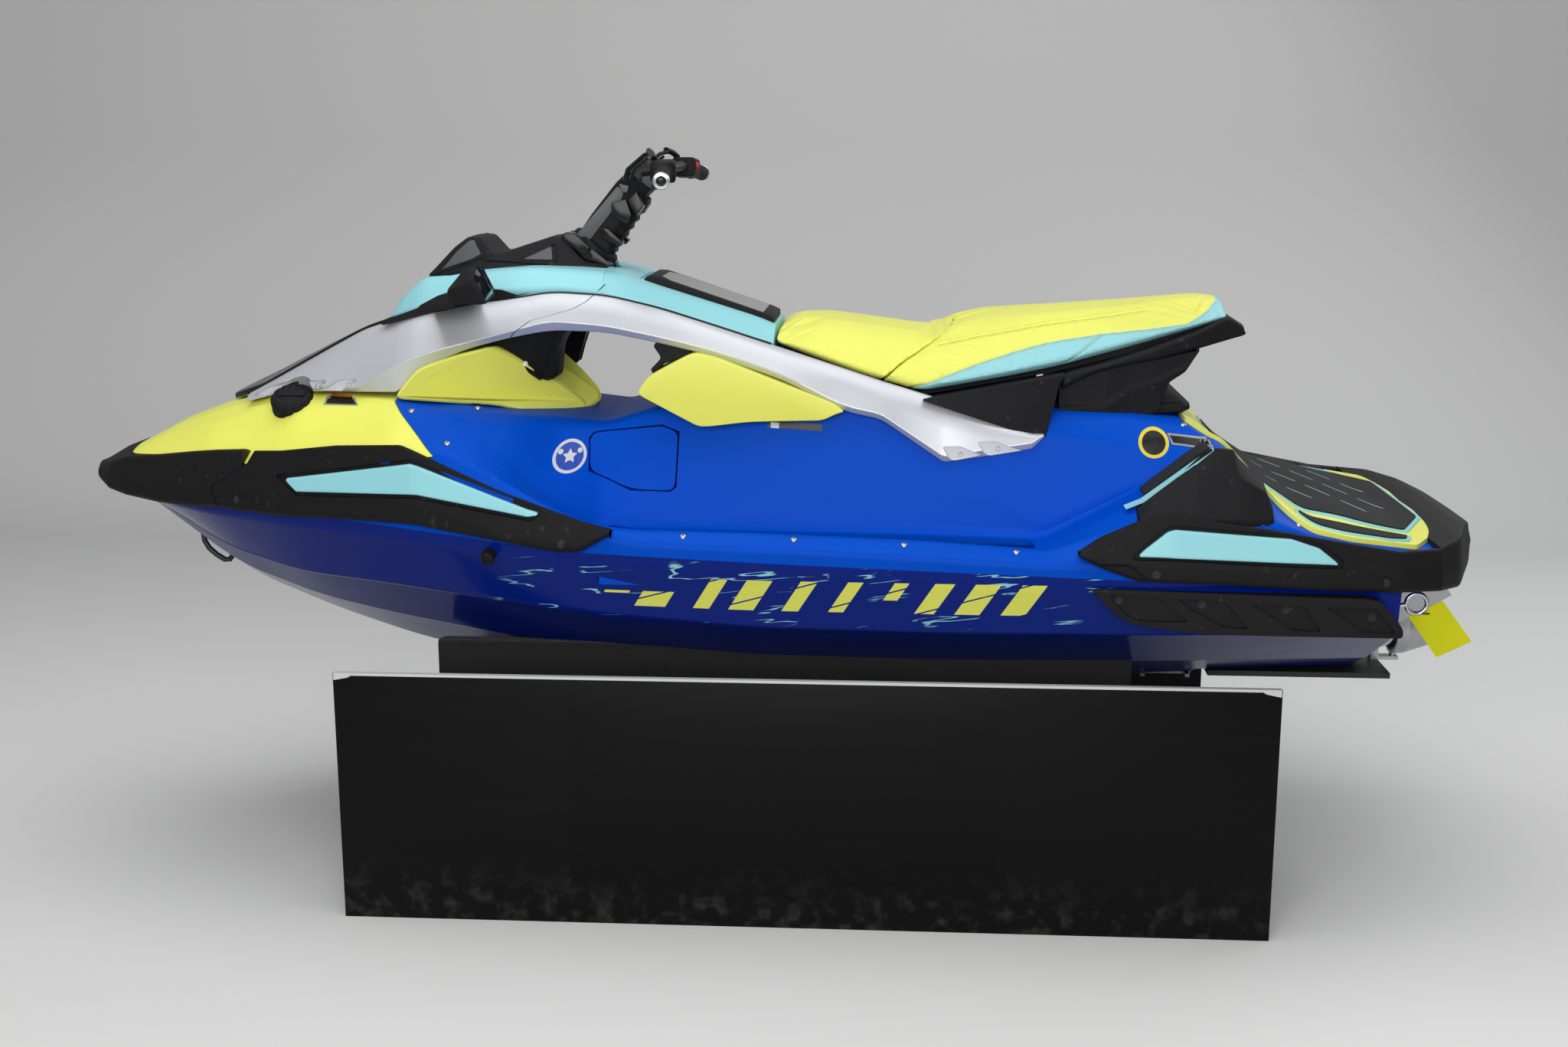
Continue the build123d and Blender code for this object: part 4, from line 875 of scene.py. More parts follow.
    def vinyl(self, c):
        f = Finish("seat_vinyl")
        x, y, z = f.axes()
        stops = [((px * 0.001 + 1.0) / 0.8, (pz * 0.001 - 1.08) / 0.28) for px, pz in sorted(seat_seam)]
        seam = f.node("ShaderNodeFloatCurve", {"curve": [(0.0, stops[0][1]), *stops, (1.0, stops[-1][1] - 0.14)]},
                      {"Value": (x + 1.0) / 0.8})[0]
        below = 1 - (z - 1.08 - seam * 0.28).step(-0.0008, 0.0008)
        side = below * (1 - x.step(-0.2935, -0.2915))
        skin_cells = f.cells(330.0, "DISTANCE_TO_EDGE")
        creases = f.noise(120.0, 4.0)
        cloud = f.noise(6.0, 4.0)
        base = f.blend(side, shade(c.shell, 0.99), shade(c.accent, 0.98))
        base = f.blend(cloud.step(0.35, 0.75) * 0.07, base, (0.25, 0.28, 0.1))
        # Painted shade: the vinyl is darkened along the sunk seam channels.
        seam_shade = f.node("ShaderNodeAttribute", {"attribute_name": "seam"})[2]
        base = f.blend(seam_shade.step(0.35, 0.8) * 0.5, base, f.blend(side, shade(c.shell, 0.3), shade(c.accent, 0.35)))
        grain = skin_cells.step(0.0, 0.22) * 0.6 + creases * 0.5
        f.done(base_color=base, roughness=0.42 + 0.1 * f.noise(30.0, 3.0), sheen_weight=0.08, sheen_roughness=0.4,
               normal=f.bump(grain, 0.00045))

    def board(self, c):
        f = Finish("skirt_black")
        x, y, z = f.axes()
        scuffs = f.noise(3.0, 6.0, (1, 1, 9))
        dust = (1 - z.step(0.0, 0.16)) * f.noise(35.0, 5.0).step(0.45, 0.75)
        inside = 1 - ((x + 0.06).size().step(0.449, 0.451)).most(1 - z.step(0.069, 0.071)).most(z.step(0.505, 0.507))
        base = f.blend(scuffs.step(0.55, 0.8) * 0.3, c.stand, shade(c.stand, 2.4))
        base = f.blend(dust * 0.10, base, (0.30, 0.30, 0.29))
        base = f.blend(inside * 0.35, base, shade(c.stand, 0.55))
        f.done(base_color=base, roughness=0.34 + 0.2 * scuffs - 0.06 * inside, specular_level=0.12,
               normal=f.bump(f.noise(2.2, 2.0, (1, 1, 0.4)), 0.004, under=f.bump(scuffs, 0.00015)))

    def carpet(self):
        f = Finish("bunk_carpet")
        tufts = f.noise(520.0, 3.0)
        worn = f.noise(11.0, 4.0)
        base = f.blend(tufts, (0.003, 0.003, 0.003), (0.014, 0.014, 0.015))
        base = f.blend(worn.step(0.5, 0.8) * 0.2, base, (0.03, 0.03, 0.03))
        f.done(base_color=base, roughness=0.95, sheen_weight=0.15, normal=f.bump(tufts, 0.003))

    def ribbed(self, c):
        f = Finish("foam_grooved")
        x, y, z = f.axes()
        rows = f.node("ShaderNodeMath", {"operation": "PINGPONG"}, {0: x * 0.5 + y * 0.866, 1: 0.007})[0]
        groove = rows.step(0.0010, 0.0022)
        fine = f.noise(1200.0, 2.0)
        # Painted shade: the grooves get a darker copy of the foam's black, besides their bump.
        base = f.blend(groove, shade(c.trim, 0.16), shade(c.trim, 0.48))
        f.done(base_color=base, roughness=0.86, normal=f.bump(groove + fine * 0.15, 0.0014))
        f = Finish("foam_inlaid")
        x, y, z = f.axes()

        def lines(value, pitch, width):
            return 1 - f.node("ShaderNodeMath", {"operation": "PINGPONG"}, {0: value, 1: pitch})[0].step(width,
                                                                                                         width + 0.0008)

        inside = (y.size()).step(0.235, 0.2352)
        inside = (1 - inside) * x.step(-1.352, -1.3515) * (1 - x.step(-1.1005, -1.1))
        lane = (y / 0.094 + 0.5) - f.node("ShaderNodeMath", {"operation": "FLOOR"}, {0: y / 0.094 + 0.5})[0]
        bar = lines(x + y * 0.6, 0.058, 0.0022) * lane.step(0.10, 0.11) * (1 - lane.step(0.80, 0.81))
        grooves = f.node("ShaderNodeMath", {"operation": "PINGPONG"}, {0: x * 0.5 + y * 0.866, 1: 0.007})[0].step(0.001, 0.0022)
        # Painted shade: the grooves get a darker copy of the foam's black, besides their bump.
        base = f.blend(grooves, shade(c.trim, 0.16), shade(c.trim, 0.48))
        base = f.blend(bar * inside, base, c.accent)
        f.done(base_color=base, roughness=0.86, normal=f.bump(grooves + f.noise(1200.0, 2.0) * 0.15, 0.0014))

    def engine(self):
        f = Finish("engine_grey")
        cast = f.noise(260.0, 4.0)
        oil = f.noise(9.0, 5.0)
        base = f.blend(oil.step(0.45, 0.75), linear((118, 120, 124)), linear((70, 71, 75)))
        f.done(base_color=base, metallic=0.35, roughness=0.42 + 0.2 * oil, normal=f.bump(cast, 0.0006))


class StageOperator(bpy.types.Operator):
    """Lay the pale floor and backdrop, hang the lamps and set up the camera"""
    bl_idname = "watercraft.stage"
    bl_label = "Stage"

    def execute(self, context):
        scene = context.scene
        floor = Finish("stage_floor")
        tone = floor.noise(0.35, 2.0)
        path = floor.node("ShaderNodeLightPath")
        seen = path["Is Camera Ray"].most(path["Is Glossy Ray"]).most(path["Is Transmission Ray"])
        pale = floor.blend(tone, (0.78, 0.78, 0.77), (0.83, 0.83, 0.82))
        floor.done(base_color=floor.blend(seen, (0.2, 0.2, 0.2), pale), roughness=0.6 + 0.1 * floor.noise(3.0, 3.0),
                   specular_level=0.1)
        rings = []
        for y, z in ([(9000, 0), (-3200, 0)]
                     + [(-3200 - 1600 * math.sin(a), 1600 - 1600 * math.cos(a))
                        for a in (math.radians(k * 7.5) for k in range(1, 13))] + [(-4800, 7000)]):
            rings.append([Vector((x, y, z)) for x in (14000, -14000)])
        sweep = from_rings("stage_sweep", rings, caps=False, closed=False)
        sweep.data.materials.append(bpy.data.materials["stage_floor"])
        sweep.data.shade_smooth()

        def lamp(name, place, target, size, energy, colour=(1, 1, 1)):
            light = bpy.data.lights.new(name, "AREA")
            light.shape, light.size, light.size_y = "RECTANGLE", size[0], size[1]
            light.energy, light.color = energy, colour
            holder = bpy.data.objects.new(name, light)
            scene.collection.objects.link(holder)
            holder.location = place
            holder.rotation_euler = (Vector(target) - Vector(place)).to_track_quat("-Z", "Y").to_euler()

        lamp("top_soft", (0.2, 0.6, 4.4), (0.0, 0.0, 0.6), (5.0, 3.2), 88.0)
        lamp("front_soft", (0.2, 5.4, 2.3), (0.0, 0.0, 0.8), (4.6, 2.6), 176.0, (1.0, 0.99, 0.97))
        lamp("rear_soft", (-3.4, -2.4, 3.4), (-0.2, 0.0, 0.9), (2.6, 2.6), 50.0, (0.97, 0.98, 1.0))
        world = bpy.data.worlds.new("studio")
        world.use_nodes = True
        scene.world = world
        t = Tree(world.node_tree)
        world.node_tree.nodes.clear()
        sky = t.node("ShaderNodeBackground", inputs={"Color": (0.80, 0.81, 0.83), "Strength": 0.38})
        t.node("ShaderNodeOutputWorld", inputs={"Surface": sky})
        scene.view_settings.view_transform = "Standard"
        camera = bpy.data.cameras.new("main_camera")
        camera.lens, camera.sensor_width = 42.03, 36.0
        eye = bpy.data.objects.new("main_camera", camera)
        scene.collection.objects.link(eye)
        right, down = Vector((-0.99775, -0.06705, -0.00128)), Vector((-0.01268, 0.20736, -0.97818))
        ahead = Vector((0.06585, -0.97596, -0.20774))
        turn = Matrix((right, -down, -ahead)).transposed().to_4x4()
        eye.matrix_world = Matrix.Translation((-0.310, 4.112, 1.646)) @ turn
        scene.camera = eye
        return {"FINISHED"}


class HullOperator(bpy.types.Operator):
    """Form the gloss hull with its strakes, pump tunnel and intake"""
    bl_idname = "watercraft.hull"
    bl_label = "Hull"

    def execute(self, context):
        stations = []
        for x, keel, strake, chine in hull_lines:
            bond = along(x, bond_height)
            rail = (bond_plan(x) - 6, bond - 26)
            mid = ((chine[0] * 0.55 + rail[0] * 0.45) + 3, chine[1] * 0.5 + rail[1] * 0.5)
            lip = (chine[0] + 5, chine[1] + 7)
            under = (chine[0] - 16, chine[1] - 5)
            s1 = (strake[0] - 9, strake[1] - 6)
            s2 = (strake[0] + 5, strake[1] - 1)
            if x > 1400:
                lip, under, s1, s2 = chine, (chine[0] - 2, chine[1] - 1), (strake[0] - 2, strake[1] - 1), strake
            stations.append((x, [(0, keel), s1, s2, under, chine, lip, mid, rail, (bond_plan(x), bond), (0, bond + 2)]))
        hull = skin("hull_shell", stations, soft=60.0, corners=[0, 2, 3, 3, 2, 5, 60, 10, 1, 0], step=20.0)
        low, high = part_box("engine_block")
        bay = block("bay", (low.x * 1000 - 40, low.y * 1000 - 40, 500), (high.x * 1000 + 40, high.y * 1000 + 40, 840))
        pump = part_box("ride_plate")
        tunnel = block("tunnel", (-1310, pump[0].y * 1000, 380), (-960, pump[1].y * 1000, 700))
        intake = plate("intake", [(-700, 380), (-960, 380), (-960, 640), (-925, 640)], -92, 92, corner=0)
        tubs = plan_cutter("tubs", [(318, 498), (283, 317), (-593, 332), (-593, 498)], 744, 900, 0)
        carve(hull, "DIFFERENCE", bay, tunnel, intake, *tubs)
        fit(hull, "hull_blue", stands_for=("hull_front", "hull_middle", "hull_rear"), angle=24)
        tubs = []
        for side in (1, -1):
            outer = plate("tub", [(318, 498 * side, 10), (283, 317 * side, 30), (-593, 332 * side, 30),
                                  (-593, 498 * side, 10)], 744, 806, axis="z", corner=20)
            inner = plate("tub_inner", [(p[0], p[1] * side, p[2]) for p in tub_outline], 830, 762, axis="z", edge=14)
            tubs.append(carve(outer, "DIFFERENCE", inner))
        fit(joined("footwell_liners", tubs), "deck_blue", stands_for=("footwell_tubs",))
        return {"FINISHED"}


class DeckOperator(bpy.types.Operator):
    """Mould the blue deck with its footwells and side hatches, and the yellow bow cowl"""
    bl_idname = "watercraft.deck"
    bl_label = "Deck and Cowl"

    def execute(self, context):
        deck = deck_form("deck_shell")
        tools = [plate("cowl_gap", grown(cowl_edge, 1.2), -700, 700, corner=0)]
        tools += plan_cutter("tub", tub_outline, 740, 905)
        tools += side_cutter("hatch_gap", grown(hatch_outline, 3.2), 205, 360)
        low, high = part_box("engine_block")
        tools.append(block("bay", (low.x * 1000 - 40, low.y * 1000 - 40, 500),
                           (high.x * 1000 + 40, high.y * 1000 + 40, 831)))
        tools.append(block("hatchway", (-600, -160, 700), (-120, 160, 1300)))
        carve(deck, "DIFFERENCE", *tools)
        fit(deck, "deck_blue", stands_for=("deck_front", "deck_saddle", "deck_rear"), angle=28)

        cowl = deck_form("bow_cowl", first=1600, last=500)
        carve(cowl, "INTERSECT", plate("region", grown(cowl_edge, -1.0), -650, 650, corner=0))
        carve(cowl, "DIFFERENCE", block("bin", (905, -105, 985), (1120, 105, 1300)),
              plate("ahead", [(1443, 880), (1450, 1000), (1700, 1000), (1700, 880)], -300, 300, corner=0))
        fit(cowl, "yellow_shell", stands_for=("nose_cowl",), angle=28)

        panels = []
        for tool in side_cutter("hatch", hatch_outline, 208, 362, corner=6):
            panel = carve(deck_form("hatch", proud=2.2, first=600, last=0), "INTERSECT", tool)
            panels.append(panel)
        hatches = joined("side_hatch_covers", panels)
        fit(hatches, "deck_blue", stands_for=("side_hatches",), angle=28)
        return {"FINISHED"}


belt_lines = [  # x, underside, crease of the outer face, top edge: bow to the front belt's tail
    (1570, 884, 893, 898), (1550, 872, 890, 903), (1500, 860, 874, 918), (1447, 853, 877, 937), (1344, 849, 880, 952),
    (1250, 852, 886, 968), (1190, 856, 893, 976), (1112, 853, 898, 984), (1014, 853, 901, 992), (880, 858, 905, 1012),
    (732, 859, 908, 1022), (700, 858, 906, 1010), (600, 845, 878, 970), (518, 835, 856, 938), (400, 818, 840, 898),
    (345, 820, 836, 880), (284, 857, 860, 866)]
bow_crown = [(1570, 901), (1550, 909), (1500, 938), (1448, 968), (1441, 900), (1000, 900)]
stern_lines = [
    (-656, 828, 831, 837), (-700, 806, 822, 868), (-770, 781, 815, 899), (-821, 779, 812, 917),
    (-940, 775, 808, 897), (-1035, 770, 804, 884), (-1125, 765, 800, 868), (-1290, 757, 790, 838),
    (-1380, 752, 784, 836), (-1437, 745, 780, 842), (-1480, 742, 778, 842), (-1520, 740, 772, 828),
    (-1550, 739, 766, 804), (-1570, 748, 762, 780)]


def belt_face(x, z, lines):
    """Distance from the centre plane of the belt's outer face: upright to the crease, then leaning in to the top."""
    plan, crease, top = along(x, belt_plan), along(x, [(p[0], p[2]) for p in lines]), along(x, [(p[0], p[3]) for p in lines])
    lean = max(0.0, min(1.0, (z - crease) / max(top - crease, 1)))
    return plan - (plan - bond_plan(x) - 3) * lean


def belt_form(lines, crown=None):
    """Stations of the rubber belt on one side; with a crown it is solid across the craft."""
    stations = []
    for x, low, crease, top in lines:
        plan, bond = along(x, belt_plan), bond_plan(x)
        inward = max(bond - 30, 0.01) if crown is None else 0
        upper = (inward, top - 38) if crown is None else (0, along(x, crown))
        stations.append((x, [(inward, low + 4), (max(plan - 8, inward), low), (plan, low + 8), (plan, crease),
                             (bond + 3, top), (max(bond - 14, inward), top - 3 if crown is None else top + 1), upper]))
    return stations


def one_side(name, stations, **options):
    """Skin on the port side and its mirror copy."""
    return twin(skin(name, stations, mirrored=False, **options))


class BeltOperator(bpy.types.Operator):
    """Wrap the black rubber belt round the craft, with its cyan inserts"""
    bl_idname = "watercraft.belt"
    bl_label = "Rubber Belt"

    def execute(self, context):
        corners = [2, 3, 4, 4, 7, 3, 2]
        whole = [0] + corners[1:6] + [0]
        seam = [(1080, 990), (1104, 954, 8), (1132, 939, 6), (1192, 903, 10), (1176, 852, 4), (1160, 815)]
        nose = skin("bow_belt", belt_form(belt_lines[:8], bow_crown), soft=6.0, corners=whole, step=9.0)
        carve(nose, "INTERSECT", plate("ahead", seam + [(1700, 820), (1700, 1000)], -700, 700, corner=4))
        fit(nose, "black_rubber", stands_for=("bow_bumper",), angle=30)

        front = one_side("front_belts", belt_form(belt_lines[5:]), soft=7.0, corners=corners, step=12.0)
        behind = [(p[0] - 2.2, *p[1:]) for p in seam] + [(200, 780), (200, 1100), (1060, 1100)]
        carve(front, "INTERSECT", plate("behind", behind, -700, 700, corner=4))
        self.recess(front, belt_lines, [
            (1022, 941, 937), (1000, 946, 920), (972, 949, 901), (709, 994, 914), (692, 990, 914), (448, 910, 878),
            (426, 902, 892)])
        fit(front, "black_rubber", stands_for=("front_bumpers",), angle=30)

        rear = one_side("rear_belts", belt_form(stern_lines[:9]), soft=7.0, corners=corners, step=12.0)
        self.recess(rear, stern_lines, [
            (-760, 836, 826), (-778, 852, 824), (-826, 890, 824), (-842, 893, 824), (-1072, 874, 812),
            (-1128, 858, 810),
            (-1172, 826, 809)])
        grooves = []
        for line in ([(-688, 816), (-752, 815), (-800, 780)], [(-1220, 799), (-1254, 794), (-1291, 762)]):
            for low, high in zip(line, line[1:]):
                ends = [Vector((x, 0, z)) for x, z in (low, high)]
                off = (ends[1] - ends[0]).normalized().cross(Vector((0, 1, 0))) * 2.5
                outline = [ends[0] + off, ends[1] + off, ends[1] - off, ends[0] - off]
                grooves += side_cutter("groove", [(p.x, p.z) for p in outline], along(low[0], belt_plan) - 6, 620)
        carve(rear, "DIFFERENCE", *grooves)
        fit(rear, "black_rubber", stands_for=("rear_bumpers",), angle=30)

        crown = [(p[0], p[3] + 2) for p in stern_lines[8:]]
        tail = skin("stern_belt", belt_form(stern_lines[8:], crown), soft=9.0, corners=whole, step=9.0)
        fit(tail, "black_rubber", stands_for=("stern_bumper",), angle=30)

        self.insert("front_belt_inserts", "front_inserts", belt_lines, [
            (998, 936, 930), (973, 940, 910), (709, 984, 922), (692, 980, 922), (455, 901, 887), (434, 896, 890)])
        self.insert("rear_belt_inserts", "rear_inserts", stern_lines, [
            (-772, 835, 831), (-784, 846, 831), (-827, 880, 830), (-842, 884, 829), (-1070, 866, 820),
            (-1125, 848, 818),
            (-1161, 820, 816)])
        return {"FINISHED"}

    def section(self, belt, lines, inner, outer):
        """Bar that follows the belt's face between two heights."""
        stations = []
        for x, top, low in lines:
            high, base = belt_face(x, top, belt), belt_face(x, low, belt)
            floor = bond_plan(x) + 0.8
            stations.append((x, [(max(base + inner, floor), low), (base + outer, low), (high + outer, top),
                                 (max(high + inner, floor - 1.5), top)]))
        return stations

    def recess(self, thing, belt, lines):
        carve(thing, "DIFFERENCE", one_side("recess", self.section(belt, lines, -7, 40), soft=4.0, corners=[4, 1, 1, 4],
                                            step=20.0))

    def insert(self, name, node, belt, lines):
        piece = one_side(name, self.section(belt, lines, -9, 2.6), soft=3.0, corners=[1, 5, 5, 1], step=20.0, nose=4.0)
        fit(piece, "cyan_shell", stands_for=(node,), angle=35)


def shell(name, edge, rise, depth, first, last):
    """Panel that lies on the deck inside a plan outline, its top lifted by rise and its bottom sunk by depth."""
    form = deck_form(name, rise=rise, first=first, last=last)
    carve(form, "INTERSECT", plate("edge", edge, 600, 1500, axis="z", corner=8))
    return carve(form, "DIFFERENCE", deck_form("under", rise=-depth, first=first, last=last))


def plan_ring(edge):
    """Outline over both sides from a list of (x, half breadth)."""
    return [(x, y) for x, y in edge] + [(x, -y) for x, y in reversed(edge)]


class RearDeckOperator(bpy.types.Operator):
    """Lay the yellow tray, the foam mats and the foot wedges"""
    bl_idname = "watercraft.rear_deck"
    bl_label = "Tray and Mats"

    def execute(self, context):
        tray_edge = [(-895, 248), (-926, 270), (-968, 300), (-1000, 338), (-1043, 398), (-1084, 440), (-1130, 466),
                     (-1205, 464), (-1344, 427), (-1420, 300)]
        tray = shell("rear_tray", plan_ring(tray_edge), 10, 14, -750, -1700)
        fit(tray, "yellow_shell", stands_for=("rear_deck_tray",), angle=26)
        mat_edge = [(-1010, 275), (-1060, 318), (-1205, 330), (-1343, 322), (-1400, 200)]
        mat = shell("rear_mat", plan_ring(mat_edge), 17, -8, -750, -1700)
        fit(mat, "foam_inlaid", stands_for=("rear_deck_mat",), angle=26)
        rims = [self.border(plan_ring(grown_edge(mat_edge, 9)), plan_ring(grown_edge(mat_edge, 0.4)))]
        side_mats = []
        for side in (1, -1):
            strip = [(-1098, 412), (-1150, 446), (-1190, 452), (-1290, 438), (-1330, 416), (-1346, 372), (-1200, 378),
                     (-1110, 380)]
            whole = [(x, y * side) for x, y in strip]
            inside = [(p[0], p[1]) for p in grown(whole, -7)]
            side_mats.append(shell("side_mat", inside, 17, -8, -900, -1700))
            rims.append(self.border(whole, inside))
        fit(joined("side_mats", side_mats), "foam_grooved", angle=26)
        fit(joined("mat_borders", rims), "foam_cyan", angle=26)

        mats = []
        for side in (1, -1):
            mats.append(plate("floor_mat", [(286, 470 * side, 10), (258, 343 * side, 26), (-566, 358 * side, 26),
                                            (-566, 470 * side, 10)], 760, 769, axis="z", corner=16, edge=1.5))
            slope = deck_form("slope", rise=7.5, first=-480, last=-1180)
            carve(slope, "INTERSECT", plate("edge", [(-796, 412 * side), (-796, 338 * side), (-925, 338 * side),
                                                     (-925, 404 * side), (-836, 412 * side)], 700, 1200, axis="z",
                                                     corner=4))
            carve(slope, "DIFFERENCE", deck_form("under", rise=-3, first=-480, last=-1180))
            mats.append(slope)
        fit(joined("footwell_foam", mats), "foam_grooved", stands_for=("footwell_mats",), angle=26)
        self.wedges()
        return {"FINISHED"}

    def border(self, outside, inside):
        """Thin rim between two plan outlines, a little lower than the mat inside it."""
        rim = shell("rim", outside, 14, -8, -750, -1700)
        return carve(rim, "DIFFERENCE", plate("in", inside, 600, 1500, axis="z", corner=8))

    def wedges(self):
        """Faceted black wedges beside the seat's rear end."""
        rings = []
        for x, crest, face, foot, inner in (
                (-776, (450, 906), (494, 903), (512, 896), 404), (-800, (446, 926), (494, 912), (512, 897), 404),
                (-896, (436, 1004), (490, 918), (508, 896), 404), (-927, (436, 1029), (482, 920), (504, 896), 404),
                (-967, (430, 1026), (468, 978), (498, 896), 404), (-979, (424, 1008), (472, 972), (497, 896), 404),
                (-1030, (424, 962), (470, 946), (494, 897), 404), (-1044, (430, 922), (470, 914), (490, 898), 404)):
            rings.append([Vector((x, inner, 868)), Vector((x, foot[0], 868)), Vector((x, *foot)), Vector((x, *face)),
                          Vector((x, *crest)), Vector((x, inner, crest[1] - 3))])
        piece = from_rings("foot_wedge_pair", rings)
        m = piece.modifiers.new("round", "BEVEL")
        m.width, m.segments, m.limit_method, m.angle_limit = 0.004, 3, "ANGLE", 0.3
        fit(twin(applied(piece)), "black_plastic", stands_for=("foot_wedges",), angle=30)
        line = [(-756, 904, 448), (-790, 918, 446), (-926, 1020, 438), (-927, 1029, 438)]
        rings = []
        for x, z, y in line:
            rings.append([Vector((x, y - 30, z)), Vector((x, y, z)), Vector((x + 2, y, z + 3)),
                          Vector((x + 2, y - 30, z + 3))])
        fit(twin(from_rings("ramp_mat_edges", rings)), "foam_cyan", angle=26)


def grown_edge(edge, amount):
    """Half outline (x, half breadth) moved outwards."""
    ring = grown([(x, y) for x, y in plan_ring(edge)], amount)
    return [(p[0], p[1]) for p in ring[:len(edge)]]


# x, then top edge, crease and lower edge of the outer face
arch_lines = [
    (1155, (120, 1083), (150, 1078), (160, 1066)), (1060, (142, 1133), (190, 1104), (192, 1092)),
    (960, (160, 1187), (232, 1112), (226, 1100)), (876, (172, 1231), (262, 1112), (254, 1103)),
    (787, (188, 1260), (271, 1162), (263, 1104)), (761, (192, 1267), (273, 1173), (263, 1118)),
    (745, (195, 1270), (273, 1180), (262, 1133)), (692, (200, 1279), (273, 1197), (261, 1172)),
    (619, (207, 1291), (271, 1215), (258, 1201)), (537, (213, 1302), (268, 1236), (256, 1222)),
    (450, (220, 1317), (266, 1260), (252, 1238)), (330, (222, 1310), (266, 1250), (252, 1235)),
    (220, (222, 1284), (264, 1228), (252, 1213)), (100, (224, 1247), (266, 1200), (256, 1186)),
    (-50, (234, 1200), (280, 1150), (270, 1137)), (-180, (248, 1160), (290, 1086), (281, 1073)),
    (-256, (254, 1136), (298, 1072), (288, 1059)), (-390, (262, 1097), (309, 984), (301, 970)),
    (-480, (270, 1063), (309, 1000), (301, 984)), (-574, (284, 1034), (305, 1014), (298, 1000)),
    (-598, (288, 1032), (301, 1030), (297, 1024))]
arch_softness = [(-598, 5), (-300, 8), (-180, 30), (619, 30), (692, 18), (787, 6), (876, 14), (1155, 30)]
arch_seam = [(536, 1180), (535, 1222), (528, 1232), (492, 1259), (401, 1284), (373, 1299), (352, 1318), (330, 1400)]
arch_vents = [
    [(1137, 1081), (1100, 1101), (1058, 1114), (1027, 1117), (1028, 1110), (1053, 1105), (1089, 1092), (1104, 1080)],
    [(1042, 1094), (1016, 1110), (985, 1122), (950, 1125), (951, 1118), (963, 1116), (978, 1110), (992, 1094)],
    [(957, 1103), (929, 1122), (911, 1129), (874, 1131), (875, 1124), (887, 1122), (912, 1103)]]


